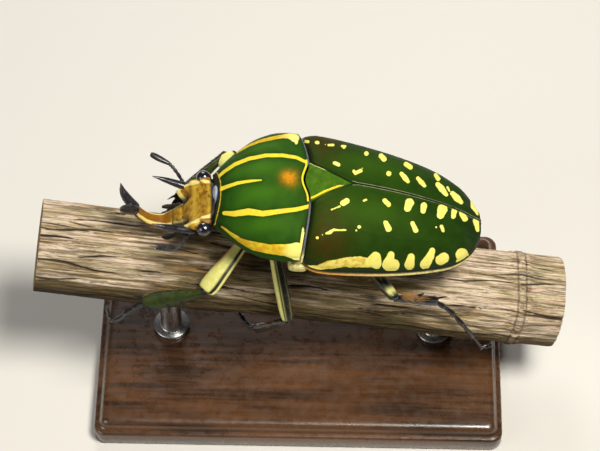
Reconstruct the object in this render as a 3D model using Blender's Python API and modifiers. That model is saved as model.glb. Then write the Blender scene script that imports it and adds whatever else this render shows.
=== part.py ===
"""A male giant African fruit beetle, life size, gripping a short branch on a plain stand.

Up is +Z, the head points to -X, the beetle's right side is +Y. The origin is the middle
of the stand's underside. Three nested frames place the pieces: the ground, the tilted
branch (its axis is X, its middle the origin) and the beetle (origin on the midline at
the hind edge of the pronotum, X to the tail).
"""
import bisect
import math

import bmesh
import bpy
from mathutils import Matrix, Vector

MM = 0.001
GAP = 0.3 * MM
CREASE = math.radians(40)
WELD = 0.002 * MM

# The stand and the branch
BASE_LENGTH = 84 * MM
BASE_WIDTH = 50 * MM
BASE_HEIGHT = 6 * MM
BASE_EDGE = 1.2 * MM
ROD_RADIUS = 2.2 * MM
ROD_PLACES = {"front": -27 * MM, "rear": 28 * MM}
PERCH_LENGTH = 106 * MM
PERCH_RADIUS = 9.4 * MM
PERCH_HEIGHT = 27.5 * MM
PERCH_TILT = math.radians(10)
PERCH_KNOT = 44.0 * MM
PERCH_KNOT_RISE = 0.45 * MM
PERCH_KNOT_REACH = 1.6 * MM

# The beetle on the branch
BEETLE_PLACE = Vector((-4.9, 1.8, 31.3)) * MM
BEETLE_YAW = math.radians(2.8)

# Stations along the beetle, in mm: the loft runs through them on a smooth curve
PRONOTUM = (  # x, half width, margin height, crest height, underside height
    (-16.0, 5.6, -9.8, -5.8, -13.6),
    (-14.6, 7.3, -9.5, -4.5, -15.0),
    (-12.0, 9.9, -8.9, -2.9, -16.0),
    (-8.5, 12.6, -8.1, -1.4, -16.3),
    (-5.0, 14.0, -7.4, -0.5, -15.4),
    (-2.0, 14.3, -7.0, -0.1, -12.6),
    (0.0, 14.2, -6.9, -0.05, -10.6),
)
ELYTRA = (  # x, half width, margin height, crest height
    (0.7, 13.5, -8.0, -1.0),
    (1.5, 14.2, -8.3, -0.3),
    (4.0, 14.8, -8.8, 0.1),
    (10.0, 14.3, -9.7, -0.2),
    (19.0, 13.0, -10.8, -2.0),
    (27.0, 11.2, -11.6, -4.6),
    (32.0, 9.2, -12.3, -7.0),
    (35.7, 6.0, -12.8, -9.3),
    (37.4, 2.8, -12.4, -10.3),
)
UNDERSIDE = (  # x, half width, lowest height
    (-3.6, 9.4, -17.0),
    (0.0, 10.8, -17.9),
    (5.0, 13.6, -18.0),
    (12.0, 13.5, -17.5),
    (20.0, 12.3, -16.8),
    (27.0, 10.7, -16.4),
    (32.0, 8.6, -15.9),
    (35.4, 5.4, -15.0),
    (36.8, 3.0, -14.1),
)
HEAD = (  # x, margin height, half width at the margins, hollow between them, half width, depth
    (-15.9, -9.0, 3.4, -1.4, 4.0, 4.4),
    (-16.8, -9.4, 3.9, -1.1, 4.6, 4.6),
    (-18.0, -9.8, 4.2, 0.2, 5.1, 4.9),
    (-19.3, -10.5, 4.45, 1.2, 5.2, 5.0),
    (-20.6, -11.6, 4.7, 1.9, 5.1, 4.9),
    (-21.7, -12.6, 4.6, 2.5, 4.85, 4.6),
    (-22.7, -13.5, 4.2, 2.8, 4.4, 4.3),
)
HEAD_SHOULDER = 0.9 * MM
HEAD_NOTCH = 1.0 * MM
HEAD_NOTCH_PLACE = 3.1 * MM
HEAD_NOTCH_WIDTH = 0.8 * MM
HEAD_NOTCH_START = -20.4
HEAD_TRAY_GROW = 1.5
THORAX_START = -3.6 * MM
THORAX_END = 12.6 * MM
CHEST_STEP = 4.6 * MM
CHEST_STEP_REACH = 3.0 * MM
ABDOMEN_END = 36.8 * MM
SCUTELLUM_START = 0.4 * MM
SCUTELLUM_TIP = 9.6 * MM
SCUTELLUM_CREST_START = 1.6 * MM
SCUTELLUM_HALF_WIDTH = 4.25 * MM
SCUTELLUM_DEPTH = 3.0 * MM
SCUTELLUM_ARCH = 0.12 * MM
REAR_EDGE_BOW = 1.0 * MM
PRONOTUM_BOW_REACH = 6.0
ELYTRA_BOW_REACH = 6.0
SEAM_SLACK = (1.1, 0.6)  # of the gap: beside the scutellum, and how much less behind its tip
DORSAL_FULLNESS = 2.2
UNDERSIDE_DROP = 0.5 * MM
UNDERSIDE_FULLNESS = 1.35
BELLY_FULLNESS = (2.4, 2.2)
HEAD_BENDS = {"hollow": 2.0, "side": 0.85, "bottom": 0.75}

# Head parts, in mm
HORN_PATH = (  # x, height, half width, half thickness
    (-22.4, -16.3, 2.3, 0.9),
    (-24.2, -18.05, 1.75, 0.95),
    (-25.9, -18.3, 1.4, 0.95),
    (-27.9, -17.6, 1.3, 0.9),
    (-29.6, -16.0, 1.2, 0.85),
    (-30.7, -14.4, 1.2, 0.8),
)
PRONG_PATH = (  # x, side, height, radius
    (-30.85, 0.45, -14.1, 0.9),
    (-32.1, 1.1, -13.2, 0.95),
    (-33.2, 2.0, -12.0, 0.7),
    (-33.85, 3.0, -10.6, 0.12),
)
SIDE_HORN_PATH = (
    (-20.0, 4.85, -13.2, 0.9),
    (-22.5, 5.15, -12.6, 0.78),
    (-25.3, 5.4, -11.75, 0.55),
    (-27.7, 5.45, -11.0, 0.15),
)
MOUTH_PLACE = Vector((-21.5, 0.0, -17.4)) * MM
MOUTH_SIZE = Vector((0.5, 5.0, 1.6)) * MM
EYE_PLACE = (-17.65, 5.9, -10.9)
EYE_RADIUS = 1.45 * MM
PALP_PATH = (
    (-20.6, 2.2, -15.9, 0.45),
    (-21.9, 3.1, -17.6, 0.4),
    (-23.5, 3.6, -18.4, 0.45),
    (-24.7, 3.5, -18.6, 0.3),
)
ANTENNA_STALK = {  # x, side, height
    "left": ((-20.1, 4.3, -15.0), (-21.0, 6.6, -14.6), (-22.0, 8.3, -13.9), (-22.9, 9.2, -13.7)),
    "right": ((-20.1, 4.3, -15.0), (-21.4, 6.6, -13.9), (-23.2, 7.9, -11.8), (-24.4, 9.0, -11.4)),
}
ANTENNA_TIP = {"left": (-26.8, 10.3, -11.3), "right": (-28.1, 10.7, -11.1)}
STALK_RADIUS = 0.34 * MM
STALK_BEADS = 7
LAMELLA_PROFILE = (  # share of the length, half breadth, half thickness
    (0.0, 0.4, 0.3), (0.4, 0.62, 0.27), (0.8, 0.58, 0.27), (1.0, 0.3, 0.2),
)
LAMELLA_SPREAD = (-0.42, 0.0, 0.42)
EPIMERON_CHAMFER = 0.7
EPIMERON = (  # height, front x, rear x, inner side, outer side
    (-12.4, -1.3, 1.7, 11.3, 13.0),
    (-11.0, -1.5, 2.1, 11.3, 14.0),
    (-9.6, -1.5, 2.1, 11.3, 14.3),
    (-9.0, -1.2, 1.8, 11.3, 14.1),
)

# Legs: the coxa is given in the beetle's frame, the rest in the branch's, all in mm
LEGS = {
    "fore_left": {
        "coxa": (-8.5, -4.6, -15.0), "knee": (-20.3, -12.6, 10.0), "ankle": (-31.6, -11.8, 1.9),
        "toes": ((-34.1, -12.0, -1.8), (-36.2, -12.2, -5.4), (-37.7, -11.6, -4.6)),
        "claws": (-37.8, -10.4, -1.8), "broad": (0, -0.45, -0.9),
    },
    "mid_left": {
        "coxa": (-3.2, -5.5, -16.3), "knee": (-2.7, -12.9, 2.6), "ankle": (-7.4, -9.5, -7.4),
        "toes": ((-8.9, -7.4, -9.6), (-10.6, -4.6, -10.5), (-12.2, -2.4, -10.9)),
        "claws": (-13.9, -0.6, -10.2), "broad": (1, 0, 0),
    },
    "hind_left": {
        "coxa": (13.2, -4.2, -17.3), "knee": (16.7, -11.8, 13.8), "ankle": (25.8, -8.9, 9.8),
        "toes": ((29.3, -9.4, 7.2), (33.4, -10.6, 3.2), (38.2, -10.6, -3.4)),
        "claws": (40.0, -10.3, -1.4), "broad": (0, 0, 1),
    },
    "fore_right": {
        "coxa": (-8.5, 4.6, -15.0), "knee": (-18.2, 16.4, 15.6), "ankle": (-27.2, 6.8, 11.6),
        "toes": ((-28.0, 5.2, 10.6), (-30.0, 3.75, 9.7), (-32.3, 3.2, 9.8)),
        "claws": (-34.3, 3.3, 9.9), "broad": (0.5, 0.05, -0.86),
    },
    "mid_right": {
        "coxa": (-3.2, 5.5, -16.3), "knee": (-4.5, 17.0, 8.2), "ankle": (-6.2, 12.0, -2.6),
        "toes": ((-7.4, 10.9, -5.2), (-9.0, 9.2, -7.6), (-10.8, 7.6, -8.8)),
        "claws": (-12.8, 5.9, -8.6), "broad": (1, 0, 0),
    },
    "hind_right": {
        "coxa": (13.2, 4.2, -17.3), "knee": (18.3, 15.6, 11.6), "ankle": (28.2, 11.4, 6.4),
        "toes": ((31.0, 11.0, 3.8), (34.8, 11.0, 0.0), (38.0, 10.7, -3.2)),
        "claws": (40.0, 10.0, -3.8), "broad": (0, 0, 1),
    },
}
FEMUR_PROFILES = {  # share of the length, half breadth, half thickness
    "fore": ((0.0, 1.1, 1.0), (0.3, 1.55, 1.1), (0.65, 2.0, 1.15), (0.88, 2.15, 1.0), (1.0, 1.5, 0.8)),
    "mid": ((0.0, 1.1, 1.0), (0.3, 1.45, 1.2), (0.65, 1.5, 1.3), (0.9, 1.3, 1.2), (1.0, 0.95, 0.9)),
    "hind": ((0.0, 1.1, 1.0), (0.3, 1.45, 1.15), (0.65, 1.5, 1.15), (0.9, 1.3, 1.0), (1.0, 0.95, 0.8)),
}
TIBIA_PROFILES = {
    "fore": ((0.0, 0.75, 0.7), (0.15, 0.95, 0.75), (0.45, 1.55, 0.7), (0.75, 1.85, 0.65), (1.0, 1.2, 0.6)),
    "mid": ((0.0, 0.7, 0.65), (0.2, 0.85, 0.75), (0.6, 0.95, 0.8), (0.9, 1.15, 0.9), (1.0, 1.0, 0.8)),
    "hind": ((0.0, 0.75, 0.65), (0.2, 0.9, 0.75), (0.6, 1.1, 0.85), (0.9, 1.25, 0.9), (1.0, 1.1, 0.8)),
}
TIBIA_TEETH = {"fore": (0.42, 0.64, 0.94), "mid": (0.55,), "hind": (0.5,)}
TOOTH_LENGTH = 1.5 * MM
TOOTH_RADIUS = 0.42 * MM
SPUR_LENGTH = 1.5 * MM
SPUR_RADIUS = 0.25 * MM
SPUR_SIDE = 0.85 * MM
SPUR_SPLAY = 1.0 * MM
TARSUS_SEGMENTS = 5
TARSUS_RADIUS = 0.5 * MM
CLAW_RADIUS = 0.27 * MM
CLAW_SPREAD = 0.6 * MM
TIP_RADIUS = 0.06 * MM

# How finely the forms are divided
DORSAL_STEPS = 14
PRONOTUM_PLACES = (-16.0, -15.4, -14.6, -13.2, -11.5, -9.5, -7.2, -5.0, -2.8, -1.2, 0.0)
ELYTRA_PLACES = (
    0.7, 1.1, 1.6, 2.8, 4.6, 7.0, 9.6, 10.6, 13.0, 16.0, 19.0, 22.0, 25.0, 28.0, 30.5, 32.5, 34.2, 35.6,
    36.6, 37.4,
)
SCUTELLUM_SHARES = (0.0, 0.12, 0.3, 0.5, 0.7, 0.86, 0.955)
THORAX_RINGS = 10
ABDOMEN_RINGS = 12
HEAD_RINGS = 13
HEAD_SIDES = 20
HORN_RINGS = 11
HORN_SIDES = 12
LIMB_RINGS = 7
LIMB_SIDES = 8
PERCH_SIDES = 26
PERCH_RINGS = 27

COLOURS = {  # base colour, roughness, metallic
    "velvet_green": ((0.03, 0.13, 0.02), 0.6, 0.0),
    "dark_green": ((0.015, 0.06, 0.01), 0.45, 0.0),
    "light_green": ((0.05, 0.2, 0.04), 0.5, 0.0),
    "cream": ((0.7, 0.66, 0.35), 0.6, 0.0),
    "ochre": ((0.42, 0.22, 0.04), 0.45, 0.0),
    "black": ((0.012, 0.01, 0.014), 0.2, 0.0),
    "bark": ((0.25, 0.17, 0.11), 0.9, 0.0),
    "dark_wood": ((0.05, 0.025, 0.012), 0.35, 0.0),
    "steel": ((0.55, 0.55, 0.56), 0.3, 1.0),
}


def clear_scene():
    for item in list(bpy.data.objects):
        bpy.data.objects.remove(item, do_unlink=True)


def new_collection(name):
    collection = bpy.data.collections.new(name)
    bpy.context.scene.collection.children.link(collection)
    return collection


def new_material(name, colour):
    base, roughness, metallic = COLOURS[colour]
    material = bpy.data.materials.new(name)
    material.use_nodes = True
    shader = material.node_tree.nodes["Principled BSDF"]
    shader.inputs["Base Color"].default_value = (*base, 1.0)
    shader.inputs["Roughness"].default_value = roughness
    shader.inputs["Metallic"].default_value = metallic
    return material


def millimetres(point):
    return Vector(point) * MM


def mirrored(point, side):
    """A point given for the beetle's right, moved to the side -1 (left) or 1 (right)."""
    return Vector((point[0], point[1] * side, point[2])) * MM


def ease(share):
    share = max(0.0, min(1.0, share))
    return share * share * (3 - 2 * share)


def read_stations(stations, place):
    """The values at one place of a smooth curve through the stations."""
    places = [row[0] for row in stations]
    last = len(places) - 1
    i = max(0, min(last - 1, bisect.bisect_right(places, place) - 1))
    span = places[i + 1] - places[i]
    t = max(0.0, min(1.0, (place - places[i]) / span))

    def slope(k, column):
        low, high = max(k - 1, 0), min(k + 1, last)
        return (stations[high][column] - stations[low][column]) / (places[high] - places[low])

    values = []
    for column in range(1, len(stations[0])):
        start, end = stations[i][column], stations[i + 1][column]
        values.append(
            start * (1 + 2 * t) * (1 - t) ** 2
            + end * t * t * (3 - 2 * t)
            + span * slope(i, column) * t * (1 - t) ** 2
            - span * slope(i + 1, column) * t * t * (1 - t)
        )
    return values


def spread(start, end, count):
    return [start + (end - start) * k / (count - 1) for k in range(count)]


def close_ends(shape, ends):
    """Cap rings that need not be flat: points at each side of a ring's first are joined."""
    for loop in ends:
        count = len(loop)
        for k in range(count // 2):
            corners = [loop[k], loop[k + 1], loop[(count - k - 1) % count], loop[(count - k) % count]]
            shape.faces.new(list(dict.fromkeys(corners)))


def loft_mesh(name, rings, flat_ends=True):
    """A closed mesh through rings of as many points each."""
    shape = bmesh.new()
    loops = [[shape.verts.new(point) for point in ring] for ring in rings]
    count = len(rings[0])
    for near, far in zip(loops, loops[1:]):
        for k in range(count):
            nxt = (k + 1) % count
            shape.faces.new((near[k], near[nxt], far[nxt], far[k]))
    ends = (loops[0], loops[-1])
    if flat_ends:
        for loop in ends:
            shape.faces.new(loop)
    else:
        close_ends(shape, ends)
    bmesh.ops.recalc_face_normals(shape, faces=shape.faces)
    if shape.calc_volume(signed=True) < 0:
        bmesh.ops.reverse_faces(shape, faces=shape.faces)
    mesh = bpy.data.meshes.new(name)
    shape.to_mesh(mesh)
    shape.free()
    return mesh


def add_object(name, mesh, collection, parent, colour=None):
    item = bpy.data.objects.new(name, mesh)
    collection.objects.link(item)
    item.parent = parent
    if colour:
        mesh.materials.clear()
        mesh.materials.append(new_material(name, colour))
        mesh.shade_smooth()
        mesh.set_sharp_from_angle(angle=CREASE)
    return item


def smooth_path(points, count):
    """Points spread along a smooth curve through the given rows; extra columns follow."""
    rows = [(float(k), *row) for k, row in enumerate(points)]
    return [read_stations(rows, place) for place in spread(0.0, len(points) - 1.0, count)]


def tube_mesh(name, rows, resolution=2):
    """A closed mesh of a bevelled curve through rows of x, y, z and radius, in metres."""
    curve = bpy.data.curves.new(name, "CURVE")
    curve.dimensions = "3D"
    curve.bevel_depth = 1.0
    curve.bevel_resolution = resolution
    curve.use_fill_caps = True
    line = curve.splines.new("POLY")
    line.points.add(len(rows) - 1)
    for point, (x, y, z, radius) in zip(line.points, rows):
        point.co = (x, y, z, 1.0)
        point.radius = radius
    guide = bpy.data.objects.new(name, curve)
    bpy.context.scene.collection.objects.link(guide)
    bpy.context.view_layer.update()
    mesh = bpy.data.meshes.new_from_object(guide.evaluated_get(bpy.context.evaluated_depsgraph_get()))
    bpy.data.objects.remove(guide)
    shape = bmesh.new()
    shape.from_mesh(mesh)
    bmesh.ops.remove_doubles(shape, verts=shape.verts, dist=WELD / 2)
    bmesh.ops.recalc_face_normals(shape, faces=shape.faces)
    shape.to_mesh(mesh)
    shape.free()
    return mesh


def limb_mesh(name, start, end, profile, broad, grow=0.0):
    """A flattened limb segment; grow swells it on all sides, for use as a cutter."""
    along = (end - start).normalized()
    flat = (broad - broad.dot(along) * along).normalized()
    thin = along.cross(flat)
    length = (end - start).length
    rings = []
    for share in spread(0.0, 1.0, LIMB_RINGS):
        breadth, thickness = (value * MM + grow for value in read_stations(profile, share))
        centre = start + along * (length * share + grow * (2 * share - 1))
        rings.append([
            centre + flat * breadth * math.cos(turn) + thin * thickness * math.sin(turn)
            for turn in spread(0.0, 2 * math.pi, LIMB_SIDES + 1)[:-1]
        ])
    return loft_mesh(name, rings)


def keep_largest(mesh):
    """Leave only the mesh's largest closed surface."""
    shape = bmesh.new()
    shape.from_mesh(mesh)
    left = set(shape.verts)
    pieces = []
    while left:
        piece, front = set(), [left.pop()]
        while front:
            vert = front.pop()
            piece.add(vert)
            for edge in vert.link_edges:
                other = edge.other_vert(vert)
                if other in left:
                    left.remove(other)
                    front.append(other)
        pieces.append(piece)

    def reach(piece):
        corners = [[vert.co[axis] for vert in piece] for axis in range(3)]
        return sum((max(row) - min(row)) ** 2 for row in corners)

    keep = max(pieces, key=reach)
    bmesh.ops.delete(shape, geom=[vert for vert in shape.verts if vert not in keep], context="VERTS")
    bmesh.ops.remove_doubles(shape, verts=shape.verts, dist=WELD)
    bmesh.ops.dissolve_degenerate(shape, edges=shape.edges, dist=WELD)
    shape.to_mesh(mesh)
    shape.free()


def apply_boolean(item, operation, target):
    """Apply one Boolean against an object or a collection."""
    modifier = item.modifiers.new(operation.lower(), "BOOLEAN")
    modifier.operation = operation
    if isinstance(target, bpy.types.Collection):
        modifier.operand_type = "COLLECTION"
        modifier.collection = target
    else:
        modifier.object = target
    bpy.context.view_layer.update()
    depsgraph = bpy.context.evaluated_depsgraph_get()
    mesh = bpy.data.meshes.new_from_object(item.evaluated_get(depsgraph))
    item.modifiers.remove(modifier)
    keep_largest(mesh)
    item.data = mesh
    mesh.shade_smooth()
    mesh.set_sharp_from_angle(angle=CREASE)


def fuse(item, meshes):
    """Join closed meshes to an object with one union."""
    pieces = new_collection(item.name + "_pieces")
    for mesh in meshes:
        add_object(mesh.name, mesh, pieces, item.parent)
    apply_boolean(item, "UNION", pieces)
    for piece in list(pieces.objects):
        bpy.data.objects.remove(piece)
    bpy.data.collections.remove(pieces)


def add_cutter(name, mesh, collection, parent):
    cutter = add_object(name, mesh, collection, parent)
    cutter.hide_render = True
    cutter.display_type = "WIRE"
    return cutter


def front_bow(side_place):
    """How far the scutellum's front edge bows back at a distance from the midline."""
    return REAR_EDGE_BOW * ease(abs(side_place) / SCUTELLUM_HALF_WIDTH)


def rear_edge(side_place, width):
    """How far the pronotum's hind edge bows back at a distance from the midline."""
    away = abs(side_place)
    if away < SCUTELLUM_HALF_WIDTH:
        return front_bow(side_place)
    return REAR_EDGE_BOW * (1 - ease((away - SCUTELLUM_HALF_WIDTH) / (width - SCUTELLUM_HALF_WIDTH)))


def power(value, exponent):
    return math.copysign(abs(value) ** exponent, value)


def pronotum_rings(grow=0.0):
    rings = []
    for x in PRONOTUM_PLACES:
        width, margin, crest, floor = (value * MM for value in read_stations(PRONOTUM, x))
        end = {PRONOTUM_PLACES[0]: -grow, PRONOTUM_PLACES[-1]: grow}.get(x, 0.0)
        ring = []
        for k in range(2 * DORSAL_STEPS):
            turn = math.pi * k / DORSAL_STEPS
            above = math.sin(turn) >= 0
            bend = 2 / (DORSAL_FULLNESS if above else UNDERSIDE_FULLNESS)
            y = (width + grow) * power(math.cos(turn), bend)
            rise = crest - margin + grow if above else margin - floor + grow
            bow = rear_edge(y, width) * ease(1 + x / PRONOTUM_BOW_REACH) if above else 0.0
            ring.append(Vector((x * MM + bow + end, y, margin + rise * power(math.sin(turn), bend))))
        rings.append(ring)
    return rings


def scutellum_half_width(x):
    share = (x - SCUTELLUM_START) / (SCUTELLUM_TIP - SCUTELLUM_START)
    return SCUTELLUM_HALF_WIDTH * max(0.0, 1 - share)


def dome_point(x, share, inner, grow=0.0):
    """A point on the elytra's dome, from the inner edge (share 0) to the margin (1)."""
    width, margin, crest = (value * MM for value in read_stations(ELYTRA, x / MM))
    start = math.asin(min(1.0, inner / width) ** (DORSAL_FULLNESS / 2))
    turn = start + (math.pi / 2 - start) * share
    y = (width + grow) * math.sin(turn) ** (2 / DORSAL_FULLNESS)
    z = margin + (crest - margin + grow) * max(0.0, math.cos(turn)) ** (2 / DORSAL_FULLNESS)
    return y, z


def elytron_inner_edge(x):
    after_tip = ease((x - SCUTELLUM_TIP) / MM)
    return scutellum_half_width(x) + GAP * (SEAM_SLACK[0] - SEAM_SLACK[1] * after_tip)


def elytron_rings(side):
    rings = []
    for x in ELYTRA_PLACES:
        place = x * MM
        inner = elytron_inner_edge(place)
        width, margin = (value * MM for value in read_stations(ELYTRA, x)[:2])
        outline = [dome_point(place, k / DORSAL_STEPS, inner) for k in range(DORSAL_STEPS + 1)]
        outline += [((width + inner) / 2, margin), (inner, margin)]
        fade = 1 - ease((x - ELYTRA_PLACES[0]) / ELYTRA_BOW_REACH)
        rings.append([
            Vector((place + rear_edge(y, width) * fade, side * y, z)) for y, z in outline
        ])
    return rings


def scutellum_rings():
    rings = []
    for share in SCUTELLUM_SHARES:
        x = SCUTELLUM_START + (SCUTELLUM_TIP - SCUTELLUM_START) * share
        half = scutellum_half_width(x)
        crest = dome_point(max(x, SCUTELLUM_CREST_START), 0.0, 0.0)[1]
        ring = []
        for across in spread(-1.0, 1.0, 7):
            bow = front_bow(across * half) * (1 - share)
            ring.append(Vector((x + bow, across * half, crest - SCUTELLUM_ARCH * across ** 2)))
        for across in (1.0, 0.0, -1.0):
            bow = front_bow(across * half) * (1 - share)
            ring.append(Vector((x + bow, across * half, crest - SCUTELLUM_DEPTH)))
        rings.append(ring)
    return rings


def underside_rings(start, end, count, grow=0.0):
    """The body below the elytra: flat on top, rounded below."""
    rings = []
    for x in spread(start, end, count):
        width, floor = (value * MM for value in read_stations(UNDERSIDE, x / MM))
        margin = read_stations(ELYTRA, x / MM)[1] * MM - UNDERSIDE_DROP
        if x < 0:
            margin -= CHEST_STEP * ease(-x / CHEST_STEP_REACH)
        ring = []
        for k in range(DORSAL_STEPS + 1):
            turn = math.pi * k / DORSAL_STEPS
            y = (width + grow) * power(math.cos(turn), 2 / BELLY_FULLNESS[0])
            z = margin - (margin - floor + grow) * math.sin(turn) ** (2 / BELLY_FULLNESS[1])
            ring.append(Vector((x, y, z)))
        ring += [Vector((x, y, margin + grow)) for y in (-width * 0.6, 0.0, width * 0.6)]
        rings.append(ring)
    return rings


def head_rings(grow=0.0):
    """The head: a tray between raised margins above, rounded below, notched beside the horn."""
    rings = []
    rows = [(float(k), *row) for k, row in enumerate(HEAD)]
    quarter = HEAD_SIDES // 2
    for place in spread(0.0, len(HEAD) - 1.0, HEAD_RINGS):
        x, margin, brim, hollow, half_width, depth = read_stations(rows, place)
        x, margin, brim, hollow, half_width, depth = (
            value * MM for value in (x, margin, brim, hollow, half_width, depth))
        end = grow * (1 - 2 * place / (len(HEAD) - 1))
        notch = HEAD_NOTCH * ease((HEAD_NOTCH_START - x / MM) / 2)
        ring = []
        for k in range(HEAD_SIDES):
            if 1 <= k <= quarter - 1:
                y = (brim + grow) * math.cos(math.pi * (k - 1) / (quarter - 2))
                share = abs(y) / (brim + grow)
                z = margin + HEAD_TRAY_GROW * grow - hollow * (1 - share ** HEAD_BENDS["hollow"])
            else:
                turn = math.pi * (1 + ((k - quarter) % HEAD_SIDES) / quarter)
                y = (half_width + grow) * power(math.cos(turn), HEAD_BENDS["side"])
                drop = depth + grow - HEAD_SHOULDER
                z = margin - HEAD_SHOULDER - drop * abs(math.sin(turn)) ** HEAD_BENDS["bottom"]
            away = (abs(y) - HEAD_NOTCH_PLACE) / HEAD_NOTCH_WIDTH
            ring.append(Vector((x + end + notch * math.exp(-away ** 2), y, z)))
        rings.append(ring)
    return rings


def perch_rings(grow=0.0):
    """The branch: a slightly lumpy round, with a ring-like knot near its lower end."""
    rings = []
    for x in spread(-PERCH_LENGTH / 2, PERCH_LENGTH / 2, PERCH_RINGS):
        knot = PERCH_KNOT_RISE * math.exp(-((x - PERCH_KNOT) / PERCH_KNOT_REACH) ** 2)
        ring = []
        for turn in spread(0.0, 2 * math.pi, PERCH_SIDES + 1)[:-1]:
            lump = 0.10 * math.sin(3 * turn + x / (9 * MM)) + 0.08 * math.sin(5 * turn - x / (14 * MM))
            radius = PERCH_RADIUS + lump * MM + knot + grow
            ring.append(Vector((x, radius * math.cos(turn), radius * math.sin(turn))))
        rings.append(ring)
    return rings


def build_stand(parts, cutters, branch_frame):
    add_object("perch", loft_mesh("perch", perch_rings()), parts, branch_frame, "bark")
    bpy.ops.mesh.primitive_cube_add(size=1.0, location=(0, 0, BASE_HEIGHT / 2))
    base = bpy.context.object
    base.name = "stand_base"
    base.scale = (BASE_LENGTH, BASE_WIDTH, BASE_HEIGHT)
    bpy.ops.object.transform_apply(location=False, rotation=False, scale=True)
    bevel = base.modifiers.new("edge", "BEVEL")
    bevel.width = BASE_EDGE
    bevel.segments = 3
    base.data.materials.append(new_material("stand_base", "dark_wood"))
    move_to(base, parts)
    saddle = add_cutter("saddle_cutter", loft_mesh("saddle", perch_rings(GAP)), cutters, branch_frame)
    for name, x in ROD_PLACES.items():
        foot = BASE_HEIGHT + GAP
        bpy.ops.mesh.primitive_cylinder_add(
            vertices=20, radius=ROD_RADIUS, depth=PERCH_HEIGHT - foot,
            location=(x, 0, (PERCH_HEIGHT + foot) / 2))
        rod = bpy.context.object
        rod.name = "stand_rod_" + name
        rod.data.materials.append(new_material(rod.name, "steel"))
        move_to(rod, parts)
        apply_boolean(rod, "DIFFERENCE", saddle)


def move_to(item, collection):
    for old in list(item.users_collection):
        old.objects.unlink(item)
    collection.objects.link(item)


def build_body(parts, frame, collar):
    add_object("pronotum", loft_mesh("pronotum", pronotum_rings()), parts, frame, "velvet_green")
    add_object("scutellum", loft_mesh("scutellum", scutellum_rings()), parts, frame, "light_green")
    for name, side in (("left", -1), ("right", 1)):
        mesh = loft_mesh("elytron", elytron_rings(side))
        add_object("elytron_" + name, mesh, parts, frame, "dark_green")
    chest = loft_mesh("chest", underside_rings(THORAX_START, THORAX_END, THORAX_RINGS))
    chest = add_object("thorax_under", chest, parts, frame, "black")
    apply_boolean(chest, "DIFFERENCE", collar)
    belly = loft_mesh("belly", underside_rings(THORAX_END + GAP, ABDOMEN_END, ABDOMEN_RINGS))
    add_object("abdomen", belly, parts, frame, "black")


def build_epimera(parts, frame, neighbours):
    """The cream side plates between the pronotum's hind angles and the elytra."""
    for name, side in (("left", -1), ("right", 1)):
        rings = []
        for height, front, rear, inner, outer in EPIMERON:
            corner = outer - EPIMERON_CHAMFER
            outline = ((front, inner), (rear, inner), (rear, corner), (rear - EPIMERON_CHAMFER, outer),
                       (front + EPIMERON_CHAMFER, outer), (front, corner))
            rings.append([mirrored((x, y, height), side) for x, y in outline])
        plate = add_object("epimeron_" + name, loft_mesh("plate", rings), parts, frame, "cream")
        for neighbour in neighbours:
            apply_boolean(plate, "DIFFERENCE", neighbour)


def build_head(parts, cutters, frame, collar):
    head = add_object("head", loft_mesh("head", head_rings(), False), parts, frame, "ochre")
    slot = add_cutter("mouth_cutter", box_mesh("mouth_cutter", MOUTH_SIZE), cutters, frame)
    slot.location = MOUTH_PLACE
    apply_boolean(head, "DIFFERENCE", slot)
    palps = []
    for side in (-1, 1):
        rows = [(x, y * side, z, radius) for x, y, z, radius in PALP_PATH]
        rows = [[value * MM for value in row] for row in smooth_path(rows, 6)]
        palps.append(tube_mesh("palp", rows, 1))
    fuse(head, palps)
    apply_boolean(head, "DIFFERENCE", collar)
    shell = loft_mesh("head_cutter", head_rings(GAP), False)
    shell = add_cutter("head_cutter", shell, cutters, frame)
    build_horn(parts, cutters, frame, shell)
    for name, side in (("left", -1), ("right", 1)):
        rows = [(x, y * side, z, radius) for x, y, z, radius in SIDE_HORN_PATH]
        rows = [[value * MM for value in row] for row in smooth_path(rows, 7)]
        horn = add_object("side_horn_" + name, tube_mesh("side_horn", rows), parts, frame, "black")
        apply_boolean(horn, "DIFFERENCE", shell)
        add_eye(name, side, parts, frame, shell)
        add_antenna(name, side, parts, frame, shell)


def box_mesh(name, size):
    shape = bmesh.new()
    bmesh.ops.create_cube(shape, size=1.0)
    bmesh.ops.scale(shape, verts=shape.verts, vec=size)
    mesh = bpy.data.meshes.new(name)
    shape.to_mesh(mesh)
    shape.free()
    return mesh


def horn_rings(grow=0.0):
    rings = []
    rows = [(float(k), *row) for k, row in enumerate(HORN_PATH)]
    for place in spread(0.0, len(HORN_PATH) - 1.0, HORN_RINGS):
        x, z, half_width, thickness = read_stations(rows, place)
        before = read_stations(rows, max(0.0, place - 0.1))
        after = read_stations(rows, min(len(HORN_PATH) - 1.0, place + 0.1))
        along = Vector((after[0] - before[0], 0, after[1] - before[1])).normalized()
        up = Vector((along.z, 0, -along.x))
        rings.append([
            millimetres((x, 0, z)) + up * (thickness * MM + grow) * math.sin(turn)
            + Vector((0, (half_width * MM + grow) * math.cos(turn), 0))
            + along * grow * (2 * place / (len(HORN_PATH) - 1) - 1)
            for turn in spread(0.0, 2 * math.pi, HORN_SIDES + 1)[:-1]
        ])
    return rings


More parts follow.
